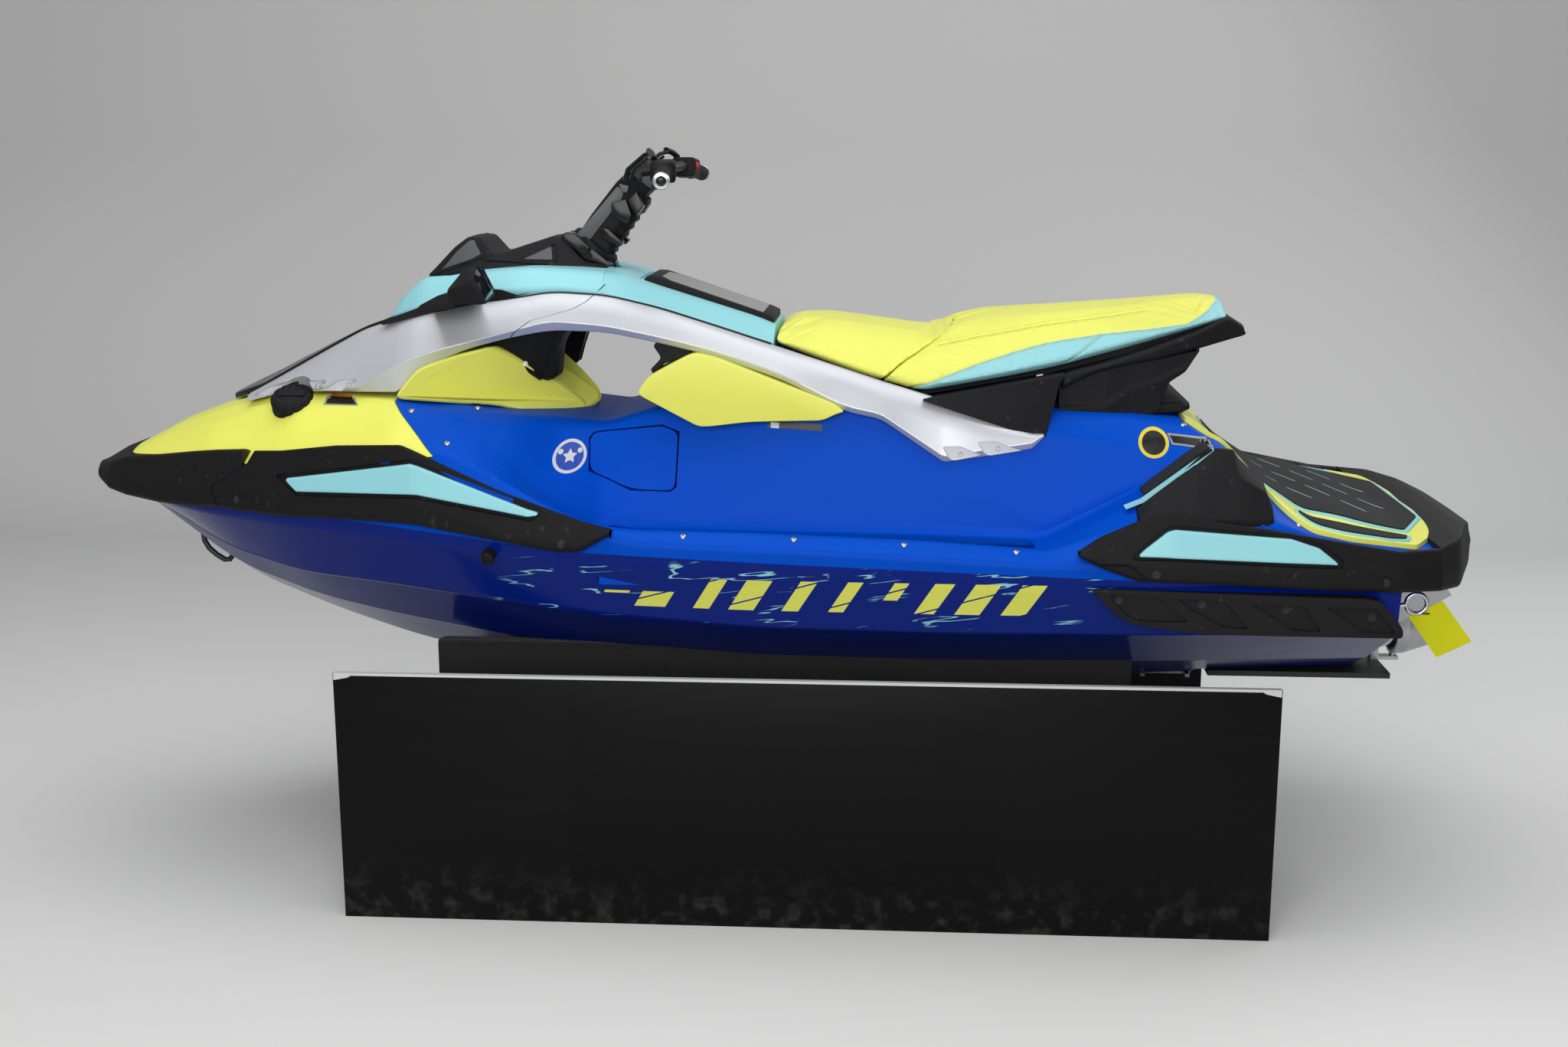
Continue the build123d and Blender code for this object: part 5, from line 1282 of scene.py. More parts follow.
class ArchOperator(bpy.types.Operator):
    """Bend the silver arch over the craft, with its joint, vents and brackets"""
    bl_idname = "watercraft.arch"
    bl_label = "Silver Arch"

    def outer(self, x, z):
        """Breadth of the outer face at a height, between its top edge and its crease."""
        top = [along(x, [(s[0], s[1][k]) for s in arch_lines]) for k in (0, 1)]
        crease = [along(x, [(s[0], s[2][k]) for s in arch_lines]) for k in (0, 1)]
        t = max(0.0, min(1.0, (top[1] - z) / max(top[1] - crease[1], 1)))
        return top[0] + (crease[0] - top[0]) * t + 9 * min(t / 0.25, (1 - t) / 0.75)

    def execute(self, context):
        wall = 22
        stations = []
        for x, top, crease, low in arch_lines:
            stations.append((x, [
                top, (crease[0] * 0.25 + top[0] * 0.75 + 9, top[1] - (top[1] - crease[1]) * 0.25), crease, low,
                (low[0] - wall, low[1] + 2), (top[0] - wall, top[1] - 2)]))
        options = dict(soft=arch_softness, corners=[5, 26, 2.5, 4, 3, 3], step=14.0, mirrored=False)
        far = [(2000, 1400), (2000, 900), (537.2, 900)]
        ahead = far + [(p[0] + 1.2, p[1]) for p in arch_seam]
        behind = [(-1200, 1400), (-1200, 900), (534.8, 900)] + [(p[0] - 1.2, p[1]) for p in arch_seam]
        nose = [s for s in stations if s[0] > 200]
        tail = [s for s in stations if s[0] < 700]
        front = carve(skin("arch_front", nose, **options), "INTERSECT", plate("ahead", ahead, 0, 400, corner=0))
        vents = []
        for points in arch_vents:
            inner = min(self.outer(x, z) for x, z in points) - 4
            vents.append(plate("vent", points, inner, 300, corner=3))
        filler = lathe("filler", Vector((1034, 200, 1050)), Vector((0, 0.5, 0.866)), [(0, 52), (90, 52)], 40)
        carve(front, "DIFFERENCE", *vents, filler)
        fit(twin(front), "silver_satin", stands_for=("arch_front_panels",), angle=26)
        rear = skin("arch_rear", tail, **options)
        carve(rear, "INTERSECT", plate("behind", behind, 0, 400, corner=0))
        pockets = []
        for points in ([(-386, 1005), (-425, 1006), (-470, 988), (-413, 975), (-401, 979)],
                       [(-459, 1015), (-498, 1017), (-556, 996), (-490, 985), (-474, 991)]):
            pockets.append(plate("pocket", points, 297, 340, corner=7))
        carve(rear, "DIFFERENCE", *pockets)
        fit(twin(rear), "silver_satin", stands_for=("arch_rear_spars",), angle=26)
        self.brackets()
        self.edging()
        return {"FINISHED"}

    def brackets(self):
        pieces = [
            plate("bracket", [(588, 1198, 6), (568, 1216, 6), (549, 1226, 6), (425, 1246, 4), (419, 1234, 5),
                              (435, 1203, 5), (444, 1134, 6), (463, 1129, 6), (535, 1168, 8)], 150, 244, edge=5),
            plate("rib", [(432, 1236, 3), (420, 1234, 3), (436, 1203, 5), (445, 1134, 4), (456, 1136, 4), (450, 1196, 5)],
                  200, 254, edge=3),
            plate("rib", [(588, 1198, 3), (586, 1206, 3), (556, 1196, 3), (470, 1137, 4), (474, 1130, 4), (560, 1186, 4)],
                  200, 252, edge=3),
            plate("bracket", [(229, 1206, 4), (222, 1216, 4), (150, 1222, 4), (150, 1184, 4), (205, 1170, 5),
                              (230, 1146, 5), (236, 1156, 5), (212, 1181, 8)], 150, 252, edge=4)]
        feet = joined("arch_feet", pieces)
        eye = Vector((-0.31, 4.112, 1.646))
        for v in feet.data.vertices:
            if v.co.x > 0.3:
                drop = max(0.0, min(1.0, (1.235 - v.co.z) / 0.105))
                v.co = v.co + (v.co - eye) * (drop * (0.095 if v.co.y > 0.21 else 0.055) / (eye.y - v.co.y))
        fit(twin(feet), "black_plastic", stands_for=("arch_brackets",),
            angle=35)

    def edging(self):
        """Black strip along the arch's upper edge where the shroud meets it."""
        rings = []
        for x in np.arange(-20, 1176, 12.0):
            y = along(x, [(s[0], s[1][0]) for s in arch_lines] + [(1180, 108)], 30)
            z = along(x, [(s[0], s[1][1]) for s in arch_lines] + [(1180, 1074)], 30)
            rise = float(np.interp(x, [0, 560, 640, 1100, 1180], [1.0, 1.0, 5.0, 5.0, 3.0]))
            rings.append([Vector((x, y - 26, z - 16)), Vector((x, y - 1, z - 16)), Vector((x, y - 1.5, z + rise)),
                          Vector((x, y - 8, z + rise + 1)), Vector((x, y - 26, z + 1))])
        fit(twin(from_rings("arch_edging", rings)), "black_plastic", angle=35)


class CoverOperator(bpy.types.Operator):
    """Make the cyan shroud, the dash, the hood and the glovebox lid"""
    bl_idname = "watercraft.covers"
    bl_label = "Shroud, Dash and Hood"

    shroud = [
        (834, 1232, (112, 1254), (70, 1268), 1272), (818, 1234, (128, 1257), (98, 1288), 1292),
        (756, 1240, (172, 1278), (110, 1342), 1346), (690, 1243, (190, 1302), (122, 1351), 1354),
        (600, 1244, (200, 1318), (148, 1359), 1361), (503, 1242, (208, 1322), (168, 1366), 1368),
        (430, 1240, (212, 1326), (170, 1363), 1366), (345, 1236, (214, 1318), (168, 1357), 1360)]
    cover = [
        (345, 1236, (214, 1318), (166, 1355), 1358), (303, 1226, (212, 1306), (150, 1350), 1352),
        (276, 1218, (211, 1298), (135, 1338), 1339), (239, 1208, (210, 1288), (124, 1326), 1327),
        (100, 1190, (212, 1246), (122, 1283), 1284), (20, 1186, (214, 1222), (124, 1258), 1259),
        (-24, 1186, (208, 1208), (140, 1240), 1241)]
    hood = [
        (1225, 40, 1069.3, 1072), (1190, 76, 1082, 1090), (1140, 89, 1098, 1112), (1078, 109, 1126, 1144),
        (961, 129, 1187, 1202), (868, 143, 1228, 1240)]
    dash = [
        (744, 108, 100, 1348), (690, 130, 96, 1404), (660, 134, 92, 1426), (634, 134, 90, 1424),
        (604, 128, 98, 1388), (575, 126, 80, 1394), (475, 122, 66, 1426), (455, 120, 66, 1424),
        (400, 112, 80, 1372), (352, 100, 90, 1362)]

    def form(self, name, lines):
        return skin(name, [(x, [(lower[0] - 34, low), lower, shoulder, (0, crown)])
                           for x, low, lower, shoulder, crown in lines], soft=20, corners=[2, 8, 20, 0], step=12)

    def clearance(self):
        """Space that the steering column turns in."""
        return lathe("clearance", helm(0, 0, -30), steer_axis, [(0, 74), (300, 74)], 40)

    def shaft_hole(self):
        return lathe("shaft_hole", helm(0, 0, -98), steer_axis, [(0, 18), (140, 18)], 24)

    def execute(self, context):
        shroud = self.form("shroud_shell", self.shroud)
        carve(shroud, "DIFFERENCE", self.clearance(), self.shaft_hole())
        fit(shroud, "cyan_shell", stands_for=("front_shroud",), angle=28)
        cover = self.form("column_shell", self.cover)
        bed = plate("bed", [(276, 1460), (276, 1336), (-26, 1238), (-26, 1460)], -109, 109, corner=0)
        box = plate("box", [(258, 1400), (258, 1262), (10, 1206), (10, 1400)], -92, 92, corner=0)
        carve(cover, "DIFFERENCE", self.clearance(), self.shaft_hole(), bed, box)
        fit(cover, "cyan_shell", stands_for=("column_cover",), angle=28)

        dash = skin("dash_hump", [(x, [(low_y, 1318), (low_y, 1345), (top_y, top_z), (0, top_z + 2)])
                                  for x, low_y, top_y, top_z in self.dash], soft=5, corners=[0, 6, 12, 0], step=10)
        carve(dash, "DIFFERENCE", self.clearance())
        fit(dash, "black_plastic", stands_for=("dash_cowl",), angle=24)
        insets = [draped("inset", dash, points, 1.6, 3.0, 4) for points in (
            [(719, 1350), (682, 1394), (655, 1418), (641, 1420), (624, 1392), (668, 1368)],
            [(541, 1379), (476, 1407), (470, 1378)])]
        fit(twin(joined("dash_insets", insets)), "grey_satin", angle=24)
        ridge = [draped("ridge", dash, strip_outline(points, 4), 3.2, 5.0, 0) for points in (
            [(736, 1345), (700, 1360), (622, 1386), (614, 1379), (480, 1371)], [(654, 1426), (644, 1424), (622, 1388)],
            [(548, 1376), (468, 1413), (462, 1376)])]
        fit(twin(joined("dash_ridges", ridge)), "black_plastic", angle=40)
        # Painted shade: a black plate below the shroud's lower edge, where the shroud tucks in and its side falls in
        # shade.
        dark = plate("shroud_edge",
                     [(834, 1249), (792, 1264), (751, 1279), (698, 1297), (640, 1311), (588, 1322), (562, 1320),
                                     (529, 1309), (500, 1315), (590, 1290), (717, 1270), (825, 1243)], 190, 207,
                                     corner=2)
        fit(twin(dark), "black_plastic", angle=30)

        hood = skin("bow_lid", [(x, [(half - 4, edge - 14), (half, edge - 4), (half - 6, edge), (0, crown)])
                                for x, half, edge, crown in self.hood], soft=30, corners=[0, 3, 12, 0], step=12)
        carve(hood, "DIFFERENCE", deck_form("seat", rise=0.8, first=1500, last=700))
        fit(hood, "black_gloss", "bow_hood", stands_for=("hood",), angle=28)
        # Painted shade: a near-black strip laid over the joint where the gap is in shade.
        joint = [draped("joint", shroud, strip_outline([(352, 1319), (347, 1324), (336, 1333)], 1.8), 0.4, 1.0, 0)]
        fit(twin(joined("shroud_joint", joint)), "gap_black", angle=40)
        self.lid()
        return {"FINISHED"}

    def lid(self):
        side = [(268, 1334.3), (-18, 1240.3), (-18, 1254, 3), (0, 1262, 4), (240, 1342, 6), (262, 1343, 4)]
        lid = plate("lid_panel", side, -104, 104, corner=0.6)
        m = lid.modifiers.new("round", "BEVEL")
        m.width, m.segments, m.limit_method, m.angle_limit = 0.004, 3, "ANGLE", 0.6
        fit(applied(lid), "black_plastic", "glovebox", stands_for=("glovebox_lid",), angle=30)
        label = []
        for x, half in ((232, 62), (212, 86), (6, 92)):
            z = along(x, [(0, 1262), (240, 1342)])
            label.append([Vector((x, -half, z + 0.2)), Vector((x, half, z + 0.2)), Vector((x, half, z + 1.2)),
                          Vector((x, -half, z + 1.2))])
        fit(from_rings("lid_label", label), "label_grey", "glovebox", angle=None)


class PodOperator(bpy.types.Operator):
    """Shape the yellow pods on both sides"""
    bl_idname = "watercraft.pods"
    bl_label = "Yellow Pods"

    def execute(self, context):
        front = plate("front_pod", [
            (778, 1102, 10), (752, 1134, 20), (725, 1162, 24), (655, 1186, 20), (572, 1207, 12), (556, 1206, 8),
            (528, 1194, 12), (431, 1142, 40), (368, 1095, 12), (364, 1072, 12), (392, 1050, 16), (424, 1053, 16),
            (564, 1084, 30), (636, 1086, 30), (768, 1094, 10)], 150, 300, corner=14, edge=16, segments=1)
        carve(front, "DIFFERENCE",
              *[plate("notch", [(x - 15, z - 14), (x + 15, z - 11), (x + 11, z + 5), (x - 10, z + 4)],
                                           288, 310, corner=3) for x, z in ((605, 1082), (420, 1060))])
        m = front.modifiers.new("round", "BEVEL")
        m.width, m.segments, m.limit_method, m.angle_limit = 0.0028, 3, "ANGLE", 0.35
        applied(front)
        eye = Vector((-0.31, 4.112, 1.646))
        for v in front.data.vertices:
            t = max(0.0, min(1.0, (0.650 - v.co.x) / 0.282))
            inward = (0.245 if v.co.y > 0.2 else 0.132) * (t * t * 0.35 + t * 0.65)
            v.co = v.co + (v.co - eye) * (inward / (eye.y - v.co.y))
        fit(twin(front), "yellow_shell", stands_for=("front_pods",), angle=20)
        rear = plate("rear_pod", [
            (258, 1112, 10), (246, 1132, 12), (232, 1148, 16), (152, 1191, 20), (131, 1195, 14), (88, 1185, 20),
            (-160, 1091, 20), (-180, 1075, 6), (-163, 1070, 6), (-134, 1056, 12), (20, 1052, 30), (107, 1041, 14),
            (130, 1041, 14), (250, 1104, 10)], 150, 295, corner=10, edge=11, segments=4)
        fit(twin(rear), "yellow_shell", stands_for=("rear_pods",), angle=32)
        return {"FINISHED"}


class TailOperator(bpy.types.Operator):
    """Make the black panels and the tail below the seat"""
    bl_idname = "watercraft.tail"
    bl_label = "Seat Tail"

    def execute(self, context):
        panels = plate("side_panel", [(-343, 1100, 4), (-591, 1147, 8), (-640, 1156, 3), (-626, 1132, 6),
                                      (-622, 1108, 6), (-602, 1023, 8), (-560, 1030, 8)], 236, 290, corner=5, edge=4)
        fit(twin(panels), "black_plastic", stands_for=("side_panels",), angle=32)
        rail = skin("tail_box", [(x, [(half - 22, low), (half - 4, low + 2), (half, low + 9), (half - 1, top - 6),
                                      (half - 8, top), (0, top + 1)]) for x, low, top, half in (
            (-638, 1122, 1150, 262), (-656, 1130, 1157, 256), (-700, 1150, 1168, 246), (-737, 1160, 1177, 238),
            (-840, 1180, 1208, 216), (-931, 1198, 1238, 178), (-985, 1209, 1260, 142), (-1003, 1213, 1262, 132),
            (-1034, 1219, 1243, 112), (-1038, 1221, 1228, 108))], soft=5, corners=[3, 3, 3, 3, 3, 0], step=12)
        box = skin("box", [(x, [(half - 14, low), (half, low + 6), (half + 2, fold), (half - 6, fold + 8),
                                (half - 10, 1146 - (x + 632) * 0.17), (0, 1147 - (x + 632) * 0.17)]) for x, low, fold,
                                half in (
            (-632, 1052, 1080, 244), (-733, 1052, 1082, 238), (-782, 1054, 1118, 226), (-830, 1056, 1132, 218),
            (-845, 1060, 1136, 214), (-866, 1128, 1146, 208), (-902, 1150, 1160, 196), (-929, 1190, 1196, 186))],
                   soft=4, corners=[4, 4, 2, 4, 4, 0], step=12)
        grab = skin("grab", [(x, [(half - 8, low), (half, low + 4), (half, top - 5), (half - 8, top), (0, top)])
                             for x, low, top, half in ((-846, 1060, 1086, 204), (-896, 1064, 1088, 200),
                                                       (-914, 1070, 1084, 186))], soft=4, corners=[4, 4, 4, 4, 0],
                                                       step=12)
        fit(joined("tail_box", [rail, box, grab]), "black_plastic", stands_for=("seat_tail",),
            angle=26)
        return {"FINISHED"}


cushion_lines = [  # x, underside, lower side, shoulder, crown
    (-27, 1206, (180, 1212), (136, 1236), 1240), (-45, 1199, (186, 1208), (142, 1242), 1247),
    (-110, 1178, (211, 1192), (150, 1246), 1252),
    (-213, 1144, (233, 1160), (150, 1234), 1240), (-340, 1112, (252, 1128), (158, 1216), 1222),
    (-374, 1119, (260, 1134), (150, 1224), 1232), (-420, 1127, (262, 1142), (130, 1248), 1256),
    (-535, 1148, (262, 1166), (140, 1256), 1262), (-629, 1166, (246, 1184), (130, 1262), 1268),
    (-800, 1208, (205, 1226), (110, 1276), 1282), (-940, 1244, (160, 1256), (90, 1290), 1296),
    (-998, 1258, (122, 1266), (60, 1291), 1297)]
seam_reach, seam_depth, seam_shade_reach = 0.0075, 0.0026, 0.0042  # the channel's half width and depth, and the reach of the painted shade line in it
puff_cap = 0.007  # how far the pressure may move a point of the cover
seat_seam = [(-293, 1111), (-352, 1129), (-404, 1150), (-457, 1170), (-496, 1183), (-568, 1204), (-635, 1218),
             (-728, 1231), (-823, 1240), (-905, 1250), (-947, 1269), (-989, 1299)]
front_seam = [(-16, 1214), (-32, 1228), (-64, 1246), (-89, 1259)]
top_seam = [(-379, 1206), (-473, 1226), (-607, 1248), (-742, 1264), (-825, 1275)]
lip_seam = [(-929, 1273), (-947, 1295)]
joint_seam = [(-722, 1229), (-650, 1176)]


class SeatOperator(bpy.types.Operator):
    """Sew the two cushions of the seat and set them on their base"""
    bl_idname = "watercraft.seat"
    bl_label = "Seat"

    def execute(self, context):
        split = [(-470, 1300), (-425, 1254), (-379, 1216), (-339, 1191), (-292, 1162), (-255, 1132), (-215, 1090),
                 (-200, 1000), (-1200, 1000), (-1200, 1400), (-470, 1400)]
        front = self.cushion("front_cushion", plate("out", grown(split, 1.5), -400, 400, corner=0), "DIFFERENCE",
                             "seat_front_cushion", [front_seam])
        rear = self.cushion("rear_bolster", plate("in", grown(split, -1.5), -400, 400, corner=0), "INTERSECT",
                            "seat_bolster", [seat_seam, top_seam, lip_seam, joint_seam])
        sizes = context.scene.watercraft_sizes
        stitch = tube("stitch", [(-450, 0, 0), (-250, 0, 180), (250, 0, 180), (450, 0, 0)], 95, 6)
        places = []
        for body, line, offset in ((rear, seat_seam, 4.5), (rear, top_seam, 4.0), (rear, top_seam, -4.0),
                                   (rear, lip_seam, 4.0), (front, front_seam, 4.0), (rear, joint_seam, 4.0)):
            tree = BVHTree.FromObject(body, context.evaluated_depsgraph_get())
            places += self.stitches(tree, line, offset, sizes.stitch_gap * 1000)
        repeat("seat_stitches", stitch, both_sides(places), "seat_thread", sizes.stitch, body="seat")
        bpy.data.objects.remove(stitch)
        return {"FINISHED"}

    def on_cushion(self, body, x, z):
        """Point and facing of the cushion's side at a place in the side view."""
        point, normal, _, _ = body.ray_cast(Vector((x * 0.001 * STRETCH, 0.5, z * 0.001)), Vector((0, -1, 0)))
        return (point * 1000, normal) if point is not None else (None, None)

    def stitches(self, body, line, offset, pitch):
        points = []
        for (x0, z0), (x1, z1) in zip(line, line[1:]):
            way = Vector((x1 - x0, z1 - z0))
            off = Vector((-way.y, way.x)).normalized() * offset
            count = max(1, int(way.length / pitch))
            points += [Vector((x0, z0)) + way * (k / count) + off for k in range(count)]
        places = []
        for a, b in zip(points, points[1:]):
            first, normal = self.on_cushion(body, a.x, a.y)
            second, _ = self.on_cushion(body, b.x, b.y)
            if first is not None and second is not None and 0.5 < (second - first).length < pitch * 3:
                places.append((first, normal, (second - first).normalized()))
        return places

    def channels(self, body, seams):
        """Sinks a narrow channel along each seam and marks it for the painted shade line that darkens the vinyl there.
        """
        lines = []
        surface = BVHTree.FromObject(body, bpy.context.evaluated_depsgraph_get())
        for line in seams:
            for (x0, z0), (x1, z1) in zip(line, line[1:]):
                count = max(2, int(math.dist((x0, z0), (x1, z1)) / 3))
                for k in range(count + 1):
                    point, _ = self.on_cushion(surface, x0 + (x1 - x0) * k / count, z0 + (z1 - z0) * k / count)
                    if point is not None:
                        lines.append(point * 0.001)
        if not lines:
            return
        tree = KDTree(len(lines))
        for i, point in enumerate(lines):
            tree.insert(point, i)
        tree.balance()
        low = min(p.z for p in lines) - 0.01
        marks = body.data.attributes.new("seam", "FLOAT", "POINT").data
        for v in body.data.vertices:
            if v.co.z < low:
                continue
            place = v.co.copy()
            place.y = abs(place.y)
            _, _, distance = tree.find(place)
            marks[v.index].value = max(0.0, 1.0 - distance / seam_shade_reach)
            if distance < seam_reach:
                v.co -= v.normal * seam_depth * (0.5 + 0.5 * math.cos(math.pi * distance / seam_reach))

    def cushion(self, name, tool, operation, node, seams):
        stations = [(x, [(side[0] - 22, low), side, shoulder, (0, crown)])
                    for x, low, side, shoulder, crown in cushion_lines]
        body = skin(name, stations, soft=26, corners=[5, 16, 34, 0], step=12, nose=9)
        carve(body, operation, tool)
        m = body.modifiers.new("even", "REMESH")
        m.mode, m.voxel_size = "VOXEL", 0.0055
        applied(body)
        self.puff(body)
        m = body.modifiers.new("fine", "SUBSURF")
        m.levels = m.render_levels = 1
        applied(body)
        self.channels(body, seams)
        body.data.shade_smooth()
        fit(body, "seat_vinyl", "seat", stands_for=(node,), angle=None)
        return body

    def puff(self, body):
        """Cloth under pressure; each point keeps within a cap of where it began."""
        before = [v.co.copy() for v in body.data.vertices]
        group = body.vertex_groups.new(name="held")
        held = [v.index for v in body.data.vertices if v.normal.z < -0.5]
        group.add(held, 1.0, "REPLACE")
        m = body.modifiers.new("cover", "CLOTH")
        s = m.settings
        s.use_pressure, s.uniform_pressure_force = True, bpy.context.scene.watercraft_sizes.pressure
        s.effector_weights.gravity = 0.0
        s.vertex_group_mass = "held"
        s.quality = 5
        m.collision_settings.use_collision = False
        scene = bpy.context.scene
        m.point_cache.frame_start, m.point_cache.frame_end = 1, 20
        for number in range(1, 21):
            scene.frame_set(number)
        applied(body)
        body.vertex_groups.clear()
        for v, start in zip(body.data.vertices, before):
            step = v.co - start
            if step.length > puff_cap:
                v.co = start + step.normalized() * puff_cap
        scene.frame_set(1)


steer_low, steer_high = Vector((394, 0, 1398)), Vector((262, 0, 1567))
steer_axis = (steer_high - steer_low).normalized()


def helm(across, ahead, up):
    """Point given in the steering column's own directions, millimetres from its foot."""
    fore = Vector((0, 1, 0)).cross(steer_axis)
    return steer_low + Vector((0, across, 0)) + fore * ahead + steer_axis * up


class HelmOperator(bpy.types.Operator):
    """Build the steering column, its rubber boot, the handlebar and the mirrors"""
    bl_idname = "watercraft.helm"
    bl_label = "Handlebar and Mirrors"

    def column_ring(self, width, fore, aft, up, corner):
        ring = [helm(y, f, up) for y, f in ((width, fore), (-width, fore), (-width, -aft), (width, -aft))]
        return rounded(ring, [corner] * 4, 5)

    def execute(self, context):
        collar = joined("column_collar", [
            lathe("ring", helm(0, 0, -24), steer_axis, [(0, 58), (1.5, 61), (17, 62), (19, 60.5), (19.5, 58)], 48),
            lathe("ring", helm(0, 0, -4), steer_axis, [(0, 57), (1, 58.5), (16, 56), (20, 52), (20.5, 30)], 48),
            lathe("shaft", helm(0, 0, -94), steer_axis, [(0, 15), (1, 16), (72, 16), (72.5, 15)], 24)])
        fit(collar, "black_plastic", "steering", stands_for=("steering_column",), angle=30)
        rings = [self.column_ring(w, f, a, u, c) for u, w, f, a, c in (
            (15, 38, 40, 36, 12), (17, 41, 44, 40, 15), (60, 42, 46, 26, 16), (110, 42, 45, 22, 16),
            (150, 44, 44, 24, 16), (180, 52, 38, 28, 14), (192, 56, 35, 30, 12), (196, 54, 33, 28, 12))]
        fit(from_rings("column_body", rings), "black_plastic", "steering", angle=30)
        ribs = context.scene.watercraft_sizes.ribs
        rings = []
        for i in range(ribs * 6 + 1):
            t = i / (ribs * 6)
            swell = 4.5 * (1 - abs(2 * ((t * ribs) % 1.0) - 1)) - 1
            rings.append(self.column_ring(34 + swell, -10, 36 + swell + 6 * (1 - t), 14 + 150 * t, 14))
        fit(from_rings("column_boot", rings), "black_rubber", "steering", angle=40)
        self.column_parts()
        self.bar()
        self.mirrors()
        return {"FINISHED"}

    def column_parts(self):
        """Side panels, box and bracket on the column, given in the side view."""
        panel = [plate("panel", [(425, 1429), (332, 1535), (316, 1528), (321, 1509), (400, 1412)], 30, 47, corner=4,
                       edge=1.5),
                 plate("panel", [(327, 1541), (304, 1536), (308, 1521), (319, 1523)], 34, 58, corner=3, edge=2)]
        fit(twin(joined("column_panels", panel)), "grey_satin", "steering", angle=30)
        dark = [plate("collar_half",
                      [(457, 1425), (450, 1435), (425, 1433), (392, 1402), (399, 1392), (410, 1384), (448, 1413)],
                      20, 62, corner=5, edge=3),
                plate("collar_half",
                      [(390, 1401), (353, 1372), (348, 1364), (353, 1355), (382, 1358), (408, 1383), (397, 1391)],
                      20, 60, corner=4, edge=3),
                plate("box", [(305, 1505), (286, 1525), (272, 1493), (287, 1471), (299, 1489)], 30, 66, corner=3,
                      edge=2),
                plate("box", [(345, 1500), (312, 1508), (300, 1474), (312, 1452), (345, 1470)], 30, 52, corner=4,
                      edge=2),
                plate("tray", [(370, 1445), (353, 1444), (319, 1413), (328, 1403), (366, 1424)], 30, 60, corner=3,
                      edge=2),
                tube("bracket", [(308, 96, 1548), (299, 108, 1572), (258, 128, 1604), (240, 138, 1608)], 4.5, 6),
                tube("bracket", [(294, 96, 1550), (283, 108, 1574), (250, 126, 1598)], 3.5, 6),
                tube("lever_arm", [(247, 140, 1612), (236, 170, 1606), (228, 200, 1596)], 7.0, 8)]
        fit(twin(joined("column_brackets", dark)), "black_gloss", "steering", angle=30)

    def bar(self):
        centre = helm(0, 0, 209)
        bend, end = Vector((214, 150, 1576)), Vector((190, 376, 1555))
        line = (end - bend).normalized()
        points = [Vector((bend.x, 0, bend.z + 6)), centre.lerp(bend, 0.45), centre.lerp(bend, 0.8), bend,
                  bend.lerp(end, 0.15), bend.lerp(end, 0.6), end]
        points[0] = centre
        path = [Vector((p.x, -p.y, p.z)) for p in reversed(points[1:])] + points
        clamp = from_rings("clamp", [rounded([helm(y, f, u) for y, f in (
            (w, d), (-w, d), (-w, -d), (w, -d))], [12] * 4, 4) for u, w, d in (
            (188, 60, 32), (190, 65, 35), (222, 65, 35), (236, 58, 30), (241, 50, 24))])
        fit(joined("handlebar_tube", [tube("bar", path, 11, 20), clamp]), "black_steel", "steering",
            stands_for=("handlebar",), angle=35)
        start = end - line * 128
        profile = [(0, 12), (0, 21), (3, 22.5), (6, 21), (8, 17)]
        for k in range(14):
            profile += [(10 + k * 8, 16.2), (12 + k * 8, 17.2), (15.5 + k * 8, 17.2), (17 + k * 8, 16.2)]
        profile += [(121, 17), (122, 12)]
        fit(twin(lathe("grip_pair", start, line, profile, 28)), "grip_rubber", "steering", stands_for=("grips",),
            angle=40)
        caps = lathe("bar_end_caps", end - line * 6, line,
                     [(0, 12), (0, 16), (2, 18), (9, 18), (11.5, 16.5), (12, 10.5),
                                                          (9, 9.5), (8.5, 7), (10, 5.5), (10, 0.5)], 32)
        fit(twin(caps), "chrome", "steering", stands_for=("bar_ends",), angle=40)
        plug = lathe("bar_end_plugs", end + line * 2, line, [(0, 9.4), (1.5, 9.4), (3, 7), (3.4, 0.5)], 28)
        fit(twin(plug), "black_gloss", "steering", angle=40)
        pods = []
        base = end - line * 204
        fore = Vector((1, 0, 0))
        rise = line.cross(fore).normalized()
        if rise.z < 0:
            rise = -rise
        for low, high, wide, tall in ((0, 58, 27, 22),):
            rings = []
            for t, grow in ((low, -3), (low + 3, 0), (high - 3, 0), (high, -3)):
                c = base + line * t
                rings.append(rounded([c + fore * (x + (grow if x > 0 else -grow)) + rise * (z + (grow if z > 0 else -grow))
                                      for x, z in ((wide, tall), (-wide, tall), (-wide, -tall), (wide, -tall))],
                                     [10] * 4, 4))
            pods.append(from_rings("pod", rings))
        lever = [base + line * 26 + Vector((26, 0, -4)), base + line * 34 + Vector((44, 0, -6)),
                 base + line * 60 + Vector((50, 0, -7)), base + line * 126 + Vector((46, 0, -8))]
        pods.append(tube("lever", lever, [5, 6, 6, 5], 12))
        fit(twin(joined("switch_housings", pods)), "black_plastic", "steering", stands_for=("switch_pods",),
            angle=35)
        spot = base + line * 18 - fore * 24 + rise * 4
        button = lathe("switch_button", (spot.x, -spot.y, spot.z), -fore, [(0, 8), (6, 8), (8, 6.5), (8.4, 2)], 20)
        fit(button, "switch_red", "steering", angle=35)

    def mirrors(self):
        rim = [(578, 305, 1379), (585, 345, 1381), (580, 384, 1359), (554, 384, 1307), (553, 308, 1319),
               (556, 300, 1330)]
        fold = [(613, 305, 1373), (607, 345, 1375), (597, 384, 1348), (566, 381, 1304), (587, 308, 1302),
                (598, 300, 1332)]
        front = [(647, 320, 1335), (642, 345, 1335), (641, 365, 1330), (633, 362, 1305), (643, 320, 1303),
                 (652, 315, 1320)]
        middle = sum((Vector(p) for p in rim), Vector()) / len(rim)
        aft = (Vector(rim[3]) - Vector(rim[1])).cross(Vector(rim[5]) - Vector(rim[1])).normalized()
        aft = aft if aft.x < 0 else -aft

